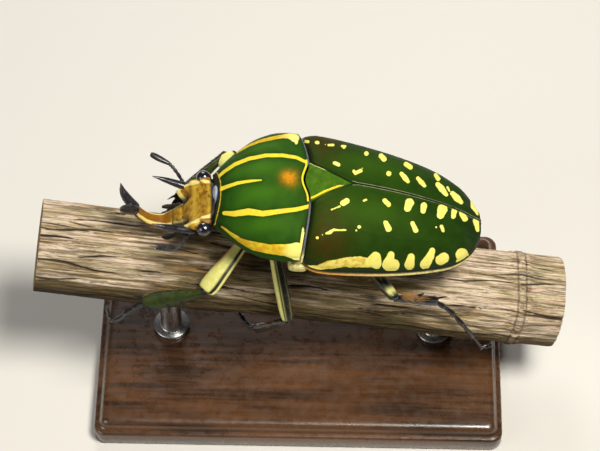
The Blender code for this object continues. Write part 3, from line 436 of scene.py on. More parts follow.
def tube_grid(rows, sides, squash=1.0):
    """Rings round a path of x, y, z and radius; squash flattens them towards Z."""
    rows = np.array(rows, float)
    centres, radii = rows[:, :3], rows[:, 3]
    along = unit(np.gradient(centres, axis=0))
    side = np.cross(along, (0.0, 0.0, 1.0))
    side[np.linalg.norm(side, axis=1) < 1e-3] = (0, 1, 0)
    side = unit(side)
    top = np.cross(side, along)
    turn = circle(sides)
    return (
        centres[:, None] + side[:, None] * (radii[:, None] * np.cos(turn))[..., None]
        + top[:, None] * (radii[:, None] * squash * np.sin(turn))[..., None])


def limb_grid(start, end, profile, broad, rings=40, sides=32):
    """A flattened limb segment: its rings, each point's share of the length and turn, its axes."""
    start, end = np.array(start, float), np.array(end, float)
    length = np.linalg.norm(end - start)
    along = (end - start) / length
    flat = np.array(broad, float)
    flat = unit(flat - flat.dot(along) * along)
    thin = np.cross(along, flat)
    shares = (1 - np.cos(np.linspace(0, math.pi, rings))) / 2
    round_off = 0.35 / length
    taper = np.sqrt(np.clip(np.minimum(shares, 1 - shares) / round_off, 0.0, 1.0) * 0.91 + 0.09)
    breadth, thickness = (read_stations(profile, shares) * taper[:, None]).T
    turn = circle(sides)
    grid = (
        (start + along * (shares * length)[:, None])[:, None]
        + flat * (breadth[:, None] * np.cos(turn))[..., None]
        + thin * (thickness[:, None] * np.sin(turn))[..., None])
    return grid, np.broadcast_to(shares[:, None], (rings, sides)), turn, (along, flat, thin)


def limb_spot(start, end, profile, share, angle, wide, thick, depth):
    """A place near a limb's surface, at a share of its depth, and the direction outward there."""
    breadth, thickness = read_stations(profile, share)[0] * depth
    cos, sin = math.cos(angle), math.sin(angle)
    place = start + (end - start) * share + wide * breadth * cos + thick * thickness * sin
    return place, wide * cos + thick * sin


def ellipsoid(centre, size, rings=24, sides=40, turn=0.0, start=0.03):
    """Rings round X, from near one end to near the other; the turn is in degrees about Z."""
    t, s = np.linspace(start, math.pi - start, rings)[:, None], circle(sides)
    ball = np.stack([np.cos(t) + 0 * s, np.sin(t) * np.cos(s), np.sin(t) * np.sin(s)], -1) * np.array(size)
    return ball @ np.array(Matrix.Rotation(math.radians(turn), 3, "Z")).T + np.array(centre)


def cone(root, tip, radius, sides=14, rings=14, bend=(0, 0, 0)):
    """A curved spine that tapers to its tip."""
    root, tip, bend = (np.array(part, float) for part in (root, tip, bend))
    t = np.linspace(0, 1, rings)[:, None]
    centres = root + (tip - root) * t + bend * (t * (1 - t) * 4)
    return tube_grid(np.column_stack([centres, radius * (1 - t) ** 0.75 + 0.025]), sides)


class Shader:
    """A material's node tree, with short ways to add to it and to the colour painted so far."""

    def __init__(self, name, roughness=0.5, metallic=0.0, **fixed):
        self.material = bpy.data.materials.new(name)
        self.material.use_nodes = True
        self.tree = self.material.node_tree
        self.shader = self.tree.nodes["Principled BSDF"]
        self.colour = None
        for key, value in {"Roughness": roughness, "Metallic": metallic, **fixed}.items():
            self.set(key.replace("_", " "), value)

    def put(self, socket, value):
        if isinstance(value, bpy.types.NodeSocket):
            self.tree.links.new(value, socket)
        else:
            socket.default_value = (*value, 1.0) if socket.type == "RGBA" else value

    def set(self, socket, value):
        self.put(self.shader.inputs[socket], value)

    def node(self, kind, settings=None, **inputs):
        """A node; its inputs go by name, or by number after the letter i."""
        node = self.tree.nodes.new("ShaderNode" + kind)
        for key, value in (settings or {}).items():
            setattr(node, key, value)
        for key, value in inputs.items():
            self.put(node.inputs[int(key[1:]) if key[1:].isdigit() else key.replace("_", " ")], value)
        return node

    def value(self, name):
        return self.node("Attribute", {"attribute_name": name}).outputs["Fac"]

    def place(self, stretch=(1.0, 1.0, 1.0), shift=(0.0, 0.0, 0.0)):
        """The piece's own place in mm, stretched."""
        spot = self.node("Attribute", {"attribute_name": "place"}).outputs["Vector"]
        return self.node("Mapping", Vector=spot, Scale=stretch, Location=shift).outputs["Vector"]

    def noise(self, scale, detail=3.0, stretch=(1.0, 1.0, 1.0), shift=(0.0, 0.0, 0.0), roughness=0.5):
        return self.node("TexNoise", Vector=self.place(stretch, shift), Scale=scale, Detail=detail,
                         Roughness=roughness).outputs["Fac"]

    def cells(self, scale):
        return self.node("TexVoronoi", Vector=self.place(), Scale=scale).outputs["Distance"]

    def math(self, operation, a, b):
        return self.node("Math", {"operation": operation}, i0=a, i1=b).outputs[0]

    def span(self, value, low, high, start=0.0, end=1.0):
        return self.node("MapRange", {"interpolation_type": "SMOOTHSTEP"}, Value=value, i1=low, i2=high,
                         i3=start, i4=end).outputs[0]

    def cloud(self, scale, detail=3.0, low=0.3, high=0.7, start=0.0, end=1.0, **more):
        return self.span(self.noise(scale, detail, **more), low, high, start, end)

    def times(self, name, *cloud, **more):
        return self.math("MULTIPLY", self.value(name), self.cloud(*cloud, **more))

    def ragged(self, name, wobble, scale, detail=3.0, **more):
        """A value of the surface, made uneven."""
        uneven = self.math("SUBTRACT", self.noise(scale, detail, **more), 0.5)
        return self.math("ADD", self.value(name), self.math("MULTIPLY", uneven, wobble))

    def mix(self, factor, a, b):
        return self.node("Mix", {"data_type": "RGBA"}, i0=factor, i6=a, i7=b).outputs[2]

    def clouds(self, a, b, *cloud, **more):
        return self.mix(self.cloud(*cloud, **more), a, b)

    def base(self, a, b, *cloud, **more):
        self.colour = self.clouds(a, b, *cloud, **more)

    def over(self, factor, other):
        """Lay another colour over the one so far, where a factor or a value of the surface is high."""
        self.colour = self.mix(self.value(factor) if isinstance(factor, str) else factor, self.colour, other)

    def fleck(self, other, *cloud, **more):
        self.over(self.cloud(*cloud, **more), other)

    def mark(self, name, other, soft, wobble, scale):
        """The same where the named distance is negative, with a slightly uneven rim."""
        self.over(self.span(self.ragged(name, wobble * 2, scale), -soft, soft, 1.0, 0.0), other)

    def done(self, *layers):
        """The material with bumps: a noise's scale and detail, a cells' scale or a height, then a depth."""
        self.set("Base Color", self.colour)
        below = {}
        for *height, depth in layers:
            if len(height) == 2:
                height = self.noise(*height)
            else:
                height = self.cells(*height) if isinstance(height[0], float) else height[0]
            bump = self.node("Bump", Height=height, Distance=depth * MM, Strength=1.0, **below)
            below = {"Normal": bump.outputs["Normal"]}
            self.set("Normal", bump.outputs["Normal"])
        return self.material


def material_pronotum():
    paint = Shader("pronotum_velvet", 0.6, **VELVET)
    paint.base((0.010, 0.05, 0.003), (0.018, 0.072, 0.004), 0.35)
    # painted light: a brighter green over the middle of the green panels
    paint.over("glow", (0.036, 0.12, 0.005))
    # painted shade: a deep green beside the pale stripes, down the front slope, at the hind edge and towards
    # the margins
    paint.over("shade", (0.004, 0.022, 0.002))
    paint.over(paint.times("stain", 1.6, 4.0, 0.25, 0.6, 0.35), (0.5, 0.2, 0.006))
    paint.fleck((0.07, 0.15, 0.008), 9.0, 2.0, 0.62, 0.8, 0.0, 0.3)
    side = paint.clouds((0.6, 0.33, 0.015), YELLOW, 1.0, 3.0, 0.35)
    paint.mark("side_band", paint.mix(paint.value("hind"), side, PALE), 0.06, 0.1, 1.3)
    paint.mark("pale", paint.clouds(YELLOW, (0.75, 0.5, 0.05), 1.5, 2.0, 0.4), 0.05, 0.05, 1.4)
    paint.mark("front_line", (0.5, 0.34, 0.03), 0.05, 0.08, 1.0)
    paint.mark("rim", (0.012, 0.035, 0.008), 0.12, 0.2, 2.0)
    paint.over(paint.span(paint.value("below"), 0.2, 0.8), (0.014, 0.016, 0.01))
    return paint.done((0.6, 2.0, 0.06), (7.0, 4.0, 0.022), (6.5, 0.012))


def material_elytron():
    paint = Shader("elytron_velvet", 0.6, **VELVET)
    paint.base((0.007, 0.026, 0.0015), (0.012, 0.04, 0.002), 0.3)
    # painted light: a brighter green over the middle of each wing case
    paint.over("glow", (0.027, 0.075, 0.003))
    paint.over(paint.times("stain", 0.9, 4.0, 0.15, 0.65), (0.032, 0.02, 0.0015))
    paint.fleck((0.05, 0.085, 0.006), 8.0, 2.0, 0.6, 0.8, 0.0, 0.25)
    # painted shade: a deep green towards the margin, the tail and the base
    paint.over("shade", (0.003, 0.01, 0.002))
    band = paint.clouds((0.62, 0.38, 0.05), (0.76, 0.66, 0.14), 1.1, 3.0, 0.3, 0.6)
    paint.mark("band", band, 0.06, 0.22, 1.3)
    paint.mark("spots", paint.clouds(PALE, (0.78, 0.68, 0.12), 0.8), 0.05, 0.12, 1.5)
    paint.mark("seam_line", (0.26, 0.28, 0.16), 0.05, 0.04, 1.0)
    paint.mark("rim", BLACK, 0.1, 0.16, 1.5)
    paint.mark("lower_line", (0.6, 0.4, 0.08), 0.08, 0.14, 1.8)
    paint.over(paint.span(paint.value("below"), 0.2, 0.8), (0.012, 0.014, 0.01))
    paint.set("Roughness", paint.span(paint.value("rim"), -0.1, 0.4, 0.3, 0.6))
    return paint.done((0.5, 2.0, 0.07), (6.5, 4.0, 0.02), (5.5, 0.014))


def material_scutellum():
    paint = Shader("scutellum_velvet", 0.5, **VELVET)
    paint.base((0.03, 0.085, 0.004), (0.055, 0.13, 0.007), 0.7)
    paint.fleck((0.08, 0.2, 0.03), 9.0, 2.0, 0.6, 0.8, 0.0, 0.35)
    paint.mark("left_line", YELLOW, 0.06, 0.12, 2.4)
    paint.mark("right_line", (0.74, 0.68, 0.28), 0.05, 0.1, 2.4)
    paint.mark("rim", (0.012, 0.05, 0.008), 0.06, 0.06, 2.4)
    return paint.done((0.8, 2.0, 0.04), (8.0, 4.0, 0.02), (6.5, 0.01))


def material_head():
    paint = Shader("head_ochre", 0.42, Specular_IOR_Level=0.25)
    paint.base((0.2, 0.085, 0.006), (0.46, 0.27, 0.018), 0.9, 4.0, 0.3, 0.68)
    # painted light: paler bands across the head's hollow plate
    paint.over("bands", (0.58, 0.38, 0.04))
    paint.fleck((0.1, 0.038, 0.006), 1.5, 4.0, 0.55, 0.7, 0.0, 0.85, stretch=(1.0, 0.8, 1.0),
                shift=(7.0, 3.0, 1.0))
    paint.over("amber", (0.19, 0.068, 0.003))
    paint.mark("pale_edge", (0.7, 0.58, 0.18), 0.1, 0.1, 1.6)
    paint.over("dark", BLACK)
    paint.set("Roughness", paint.cloud(3.0, 3.0, 0.3, 0.7, 0.34, 0.52))
    return paint.done((1.0, 3.0, 0.06), (4.5, 0.025), (9.0, 3.0, 0.012))


def material_black(name, tint=(0.012, 0.011, 0.014), roughness=0.18):
    """Glossy black shell with a fine grain, a little lighter in uneven clouds."""
    paint = Shader(name, roughness, Specular_IOR_Level=0.5, Coat_Weight=0.2, Coat_Roughness=0.06)
    paint.base(tint, tuple(2.2 * part + 0.004 for part in tint), 0.9, 4.0, 0.35, 0.75)
    paint.set("Roughness", paint.cloud(2.5, 3.0, 0.3, 0.7, roughness * 0.75, roughness * 1.5))
    return paint.done((5.0, 3.0, 0.015), (5.0, 0.012))


def material_eye():
    """A compound eye: tiny domed facets under a high gloss."""
    paint = Shader("eye_facets", 0.1, Specular_IOR_Level=0.7, Coat_Weight=0.8, Coat_Roughness=0.03)
    paint.base((0.008, 0.008, 0.014), (0.018, 0.012, 0.03), 0.8)
    cell = paint.cells(11.0)
    paint.over(paint.span(cell, 0.2, 0.6, 0.0, 0.5), (0.004, 0.004, 0.006))
    return paint.done((cell, -0.012))


def material_femur():
    paint = Shader("femur_cream", 0.42, Specular_IOR_Level=0.3)
    paint.base((0.64, 0.6, 0.14), (0.7, 0.68, 0.26), 1.2, 5.0)
    paint.over(paint.times("front", 1.1, 4.0, 0.1, 0.6), (0.42, 0.19, 0.02))
    paint.fleck((0.6, 0.42, 0.08), 2.2, 3.0, 0.6, 0.75, 0.0, 0.5)
    # the dark parts: joints, and on the fore thighs a stripe of painted shade; cream left on the mid and hind
    # thighs includes painted highlights
    paint.over("dark", (0.01, 0.013, 0.008))
    paint.set("Roughness", paint.span(paint.value("dark"), 0.2, 0.8, 0.42, 0.3))
    return paint.done((1.5, 4.0, 0.05), (4.0, 0.008), (9.0, 3.0, 0.006))


def material_fore_tibia():
    paint = Shader("tibia_olive", 0.4, Specular_IOR_Level=0.2)
    paint.base((0.014, 0.026, 0.002), (0.034, 0.05, 0.004), 1.0, 4.0)
    paint.fleck((0.05, 0.06, 0.012), 5.0, 3.0, 0.6, 0.76, 0.0, 0.5)
    paint.over("dark", (0.012, 0.01, 0.012))
    paint.set("Roughness", paint.cloud(2.5, 3.0, 0.3, 0.7, 0.34, 0.5))
    return paint.done((1.8, 4.0, 0.03), (3.2, 0.02), (9.0, 3.0, 0.012))


def material_belly():
    paint = Shader("belly_black", 0.25, Specular_IOR_Level=0.5, Coat_Weight=0.2, Coat_Roughness=0.1)
    paint.base((0.012, 0.011, 0.009), (0.035, 0.025, 0.016), 0.9, 4.0, 0.35, 0.75)
    pale = paint.clouds((0.62, 0.52, 0.2), (0.55, 0.56, 0.34), 1.1, 4.0)
    paint.over(paint.span(paint.ragged("flank", 0.9, 1.3, 4.0), 0.4, 0.7), pale)
    return paint.done((1.2, 4.0, 0.06), (4.0, 0.03), (7.0, 3.0, 0.015))


def material_cream_plate(name):
    paint = Shader(name, 0.5, Specular_IOR_Level=0.4)
    paint.base((0.6, 0.52, 0.16), (0.72, 0.66, 0.3), 1.6, 4.0)
    paint.fleck((0.26, 0.19, 0.05), 2.0, 4.0, 0.52, 0.7, 0.0, 0.7)
    paint.over("amber", (0.62, 0.28, 0.03))
    paint.over("dark", (0.09, 0.1, 0.11))
    return paint.done((2.2, 4.0, 0.05), (5.0, 0.02))


def material_bark():
    paint = Shader("bark_fibre", 0.85, Specular_IOR_Level=0.25)

    def fibres(scale, detail, along, across, shift, roughness):
        return paint.noise(scale, detail, (along, across, across), shift, roughness)

    def streaks(colour, low, high, end, *fibre):
        paint.over(paint.span(fibres(*fibre), low, high, 0.0, end), colour)

    long_grain = fibres(1.0, 6.0, 0.09, 1.4, (0.0, 0.0, 0.0), 0.66)
    grain = paint.span(long_grain, 0.36, 0.64)
    # painted light: the bark is paler towards both ends and only on its top side; the pale fibres and bright
    # streaks below show mainly there
    zone = paint.ragged("light", 1.6, 0.5, 4.0, stretch=(0.12, 1.0, 1.0), shift=(5.0, 5.0, 1.0))
    zone = paint.span(zone, 0.1, 0.6)
    paint.colour = paint.mix(grain, (0.045, 0.03, 0.012), (0.22, 0.155, 0.065))
    paint.over(zone, paint.mix(grain, (0.3, 0.2, 0.1), (0.78, 0.64, 0.42)))
    pale = paint.span(fibres(1.0, 5.0, 0.05, 0.8, (3.0, 9.0, 1.0), 0.62), 0.44, 0.58)
    paint.over(paint.math("MULTIPLY", pale, zone), (0.86, 0.68, 0.52))
    streaks((0.42, 0.24, 0.06), 0.54, 0.66, 0.7, 1.0, 4.0, 0.06, 0.9, (13.0, 2.0, 5.0), 0.6)
    streaks((0.34, 0.12, 0.045), 0.6, 0.72, 0.7, 1.0, 4.0, 0.08, 0.6, (1.0, 22.0, 9.0), 0.6)
    streaks((0.13, 0.125, 0.035), 0.5, 0.68, 0.55, 0.5, 4.0, 0.25, 1.0, (31.0, 4.0, 5.0), 0.5)
    fine = fibres(1.0, 5.0, 0.2, 5.0, (2.0, 2.0, 2.0), 0.72)
    paint.over(paint.span(fine, 0.53, 0.64, 0.0, 0.85), (0.03, 0.019, 0.01))
    bright = paint.span(fibres(1.0, 4.0, 0.22, 6.0, (9.0, 4.0, 7.0), 0.7), 0.58, 0.68)
    paint.over(paint.math("MULTIPLY", bright, paint.span(zone, 0.0, 1.0, 0.25, 1.0)), (0.74, 0.66, 0.5))
    streaks((0.13, 0.085, 0.04), 0.48, 0.6, 0.7, 1.0, 5.0, 0.05, 2.2, (17.0, 3.0, 8.0), 0.6)
    # painted shade: the bark darker towards its underside
    paint.over(paint.times("low", 0.8, 5.0, 0.25, 0.6, 0.35, stretch=(0.2, 1.0, 1.0)), (0.03, 0.022, 0.008))
    # painted shade in the cracks and the grooves round the knot
    paint.over(paint.span(paint.value("crack"), 0.1, 0.7, 0.0, 0.9), (0.02, 0.013, 0.008))
    rings = paint.node("TexWave", {"wave_type": "RINGS", "rings_direction": "X"}, Vector=paint.place(),
                       Scale=0.42, Distortion=1.6, Detail=2.0, Detail_Scale=0.6).outputs["Fac"]
    wood = paint.mix(paint.span(rings, 0.2, 0.8), (0.42, 0.29, 0.14), (0.25, 0.15, 0.06))
    wood = paint.clouds(wood, (0.16, 0.09, 0.035), 1.2, 4.0, 0.45, 0.75, 0.0, 0.6)
    paint.over(paint.span(paint.value("cut"), 0.4, 0.6), wood)
    return paint.done((long_grain, 0.7), (fine, -0.22), (5.0, 4.0, 0.06))


def material_base():
    """Dark lacquered wood."""
    paint = Shader("lacquered_wood", 0.3, Coat_Weight=0.7, Coat_Roughness=0.12, Specular_IOR_Level=0.5)
    paint.base((0.022, 0.01, 0.005), (0.085, 0.036, 0.014), 1.0, 7.0, 0.35, 0.65, stretch=(0.05, 0.9, 0.9),
               roughness=0.62)
    paint.fleck((0.13, 0.055, 0.02), 0.12, 3.0, 0.4, 0.7, 0.0, 0.6, stretch=(0.25, 1.0, 1.0),
                shift=(4.0, 1.0, 2.0))
    pores = paint.noise(1.0, 4.0, (0.25, 7.0, 7.0), (1.0, 5.0, 2.0), 0.7)
    paint.over(paint.span(pores, 0.62, 0.76, 0.0, 0.8), (0.012, 0.006, 0.003))
    paint.set("Roughness", paint.cloud(0.6, 4.0, 0.3, 0.7, 0.24, 0.4))
    return paint.done((pores, 0.02), (0.5, 2.0, 0.02))


def material_steel():
    paint = Shader("brushed_steel", 0.3, 1.0)
    brushed = paint.noise(1.0, 4.0, (6.0, 6.0, 0.35), roughness=0.7)
    paint.colour = paint.mix(paint.span(brushed, 0.3, 0.7), (0.46, 0.46, 0.47), (0.62, 0.62, 0.63))
    paint.set("Roughness", paint.span(brushed, 0.3, 0.7, 0.22, 0.4))
    return paint.done((brushed, 0.01))


def material_hair():
    paint = Shader("bristle_amber", 0.6, Sheen_Weight=0.3)
    paint.colour = paint.mix(paint.value("length"), (0.2, 0.08, 0.015), (0.42, 0.22, 0.05))
    paint.set("Roughness", paint.cloud(2.0, 2.0, 0.3, 0.7, 0.5, 0.7))
    return paint.done()


def build_perch():
    rng = random.Random(7)
    rings, sides, half = 420, 300, 52.85
    xs = np.linspace(-half, half, rings)[:, None] + np.zeros((1, sides))
    turn = circle(sides)[None, :] + np.zeros((rings, 1))
    lump = 0.10 * np.sin(3 * turn + xs / 9) + 0.08 * np.sin(5 * turn - xs / 14) + 0.45 * bell(xs, 44.0, 1.6)
    depth, crack = np.zeros_like(xs), np.zeros_like(xs)
    for place in np.ndindex(rings, sides):
        x, y, z = xs[place], PERCH_RADIUS * math.cos(turn[place]), PERCH_RADIUS * math.sin(turn[place])
        depth[place] = sum(
            size * noise.noise((x / long, y / wide, z / wide)) for size, long, wide in BARK_WAVES)
    depth = 0.2 + np.clip(-depth, -0.2, 0.7)
    # cracks cut into the bark, their mask later darkened as painted shade
    for _ in range(230):
        x0, t0 = rng.uniform(-half, half), rng.uniform(0, 2 * math.pi)
        long, wide = rng.uniform(3, 13), rng.uniform(0.07, 0.22)
        deep, lean, wave = rng.uniform(0.15, 0.75), rng.uniform(-0.01, 0.01), rng.uniform(0, 6)
        middle = t0 + lean * (xs - x0) + 0.03 * np.sin((xs - x0) / 2.2 + wave)
        away = (turn - middle + math.pi) % (2 * math.pi) - math.pi
        fade = np.clip(1 - np.abs(xs - x0) / long, 0, 1)
        cut = np.exp(-(away * PERCH_RADIUS / (wide * (0.35 + fade))) ** 2) * ease(fade * 2.2)
        crack = np.maximum(crack, cut * min(1.0, deep * 2.2))
        depth = np.maximum(depth, 0.16 + deep * cut)
    for x0 in (43.2, 44.9):     # the grooves round the knot
        groove = bell(xs - x0 - 0.25 * np.sin(3 * turn), 0.0, 0.28)
        depth = depth + 0.22 * groove
        crack = np.maximum(crack, 0.5 * groove)
    # painted light: paler bark towards both ends, only on the top side
    light = np.maximum(0.25, np.maximum(1 - ease((xs + 44) / 30), ease((xs - 16) / 16)))
    light = light * ease((np.sin(turn) + 0.25 * ease((xs - 16) / 16)) / 0.5)
    # painted shade: darker towards the underside, less so towards the right end
    low = np.clip(ease((0.35 - np.sin(turn)) / 0.8) * (1 - 0.6 * ease((xs - 14) / 20)), 0, 0.9)
    away = PERCH_RADIUS + lump - depth
    grid = np.stack([xs, away * np.cos(turn), away * np.sin(turn)], -1)
    ends = []
    for ring, sign in ((grid[0], -1), (grid[-1], 1)):
        centre = np.array([ring[:, 0].mean(), 0, 0])
        ends.append([])
        for share, push in SAWN_RINGS:
            inner = centre + (ring - centre) * share
            inner[:, 0] = centre[0] + sign * (push + 0.03 * math.sin(9 * share))
            ends[-1].append(inner)
    grid = np.concatenate([ends[0][::-1], grid, ends[1]])
    pad = ((len(SAWN_RINGS), len(SAWN_RINGS)), (0, 0))
    draft = Draft(BRANCH)
    draft.loft(grid, crack=np.pad(crack, pad), light=np.pad(light, pad), low=np.pad(low, pad),
               cut=np.pad(np.zeros_like(xs), pad, constant_values=1.0))
    draft.finish("perch_bark", material_bark(), "bark", "perch")


def build_stand():
    length, width, corner, steps = 84.0, 50.0, 2.4, 10
    rings = []
    for inset, height in PLINTH_PROFILE:
        bend = max(corner - inset * 0.5, 0.6)
        rings.append([
            (cx * (length / 2 - inset - bend) + bend * math.cos(turn),
             cy * (width / 2 - inset - bend) + bend * math.sin(turn), height)
            for cx, cy, start in ((1, 1, 0), (-1, 1, 90), (-1, -1, 180), (1, -1, 270))
            for turn in [math.radians(start + 90 * k / steps) for k in range(steps + 1)]])
    draft = Draft(WORLD)
    draft.loft(rings)
    draft.finish("stand_plinth", material_base(), "dark_wood", "stand_base", sharp=38)
    steel, turn = material_steel(), circle(56)
    for name, x in (("front", -27.0), ("rear", 28.0)):
        top = PERCH_HEIGHT - x * math.tan(PERCH_TILT) - 9.1 / math.cos(PERCH_TILT)
        draft = Draft(WORLD)
        draft.loft([
            np.stack([x + r * np.cos(turn), r * np.sin(turn),
                      z - r * np.cos(turn) * math.tan(PERCH_TILT) * (z > 8)], -1)
            for r, z in (*ROD_FOOT, (2.2, top - 0.2), (2.2, top), (2.0, top + 0.2))])
        draft.finish("rod_" + name, steel, "steel", "stand_rod_" + name, sharp=40)


def front_bow(side_place):
    return ease(np.abs(side_place) / SCUTELLUM_HALF_WIDTH)


def rear_edge(side_place, width):
    away = np.abs(side_place)
    outer = 1 - ease((away - SCUTELLUM_HALF_WIDTH) / (width - SCUTELLUM_HALF_WIDTH))
    return np.where(away < SCUTELLUM_HALF_WIDTH, front_bow(away), outer)


def arc_from_middle(y, z):
    step = np.hypot(np.diff(y, axis=1), np.diff(z, axis=1))
    return np.concatenate([np.zeros((len(y), 1)), np.cumsum(step, 1)], 1)


def normals(points):
    """The directions out of the back at a grid of its points."""
    normal = np.cross(np.gradient(points, axis=0), np.gradient(points, axis=1))
    normal /= np.linalg.norm(normal, axis=-1, keepdims=True) + 1e-9
    return normal * np.sign(normal[..., 2].mean())


def build_pronotum():
    tops, bottoms, lip = 220, 90, 0.22
    xs = np.concatenate([[-16.0 + lip], np.linspace(-15.6, -0.4, 150), [0.0 - lip]])
    width, margin, crest, floor = read_stations(PRONOTUM, xs).T[..., None]
    turn = np.linspace(math.pi, 2 * math.pi, bottoms + 2)[1:-1]
    turn = np.concatenate([np.linspace(0, math.pi, tops), turn])
    above = turn <= math.pi
    bend = np.where(above, 2 / DORSAL_FULLNESS, 2 / UNDERSIDE_FULLNESS)
    y = width * power(np.cos(turn), bend)
    z = margin + np.where(above, crest - margin, margin - floor) * power(np.sin(turn), bend)
    bow = rear_edge(y, width) * ease(1 + xs / 6.0)[:, None]
    bow = bow + 0.75 * (1 - (y / width) ** 2) * ease((-12.4 - xs) / 3.4)[:, None]
    bow = np.where(above, bow, 0.0)
    arc = arc_from_middle(y[:, :tops], z[:, :tops])
    arc = arc[:, tops // 2 - 1:tops // 2 + 1].mean(1)[:, None] - arc          # positive towards the right
    side = np.abs(arc)
    u = xs[:, None] + np.zeros((1, tops))
    # relief: a raised margin, a faint groove within it, shallow dents at the hind angles
    from_margin = side.max(1)[:, None] - side
    lift = 0.16 * bell(from_margin, 0.25, 0.28) - 0.08 * bell(from_margin, 0.95, 0.35)
    lift = lift - 0.10 * bell(u, -3.6, 1.6) * bell(side, 4.2, 2.0)
    lift = lift - 0.07 * bell(u, -6.8, 1.5) * bell(side, 6.0, 1.5)
    lift = lift + 0.07 * bell(arc, 0.0, 0.8) * ease((-7.0 - u) / 3.0)
    points = np.stack([xs[:, None] + bow, y, z], -1)
    normal = normals(points[:, :tops])
    points[:, :tops] += normal * lift[..., None]
    top = points[:, :tops]

    def spread_out(value, below, end=None):
        full = padded(widened(value, bottoms, below), END_RINGS)
        if end is not None:
            full[:2], full[-2:] = end, end
        return full

    side_band = photo_distance(top, normal, FRONT_PART, PRONOTUM_SIDE)
    side_band = np.where(side_band > FAR - 1, stroke_distance(u + bow[:, :tops], arc, HIDDEN_SIDE), side_band)
    pale = photo_distance(top, normal, FRONT_PART, PRONOTUM_PALE)
    pale = np.minimum(pale, np.abs(u + 0.25) - 0.16 + 0.4 * ease((side - 4.6) / 0.6))
    green_edge = np.minimum(np.abs(pale), np.abs(side_band))
    # painted light: brighter green in the middle of the green panels, highest at mid-length
    glow = 0.85 * bell(u, -8.0, 4.2) * (bell(side, 2.9, 1.9) + 0.9 * bell(side, 9.4, 1.8))
    # painted shade: deeper green beside the pale stripes, down the front slope, at the hind edge and towards
    # the margins
    shade = ease((0.9 - green_edge) / 0.9) * 0.4 + 0.65 * ease((-13.6 - u) / 2.2)
    shade = shade + 0.5 * ease((u + 1.2) / 1.2) + 0.5 * ease((2.2 - from_margin) / 2.2)
    stain = 1.4 * bell(u, -2.8, 1.35) * bell(arc, 0.2, 1.5)
    draft = Draft()
    draft.loft(
        rounded_ends(points, lip), side_band=spread_out(side_band, FAR), pale=spread_out(pale, FAR),
        front_line=spread_out(u + 15.75, FAR, FAR), rim=spread_out(from_margin - 0.5, FAR),
        glow=spread_out(glow, 0.0), shade=spread_out(np.clip(shade, 0, 0.92), 0.0),
        stain=spread_out(stain, 0.0), hind=spread_out(ease((u + 4.4) / 3.0), 0.0),
        below=spread_out(np.zeros_like(u), 1.0, 1.0))
    draft.finish("pronotum_shell", material_pronotum(), "velvet_green", "pronotum")


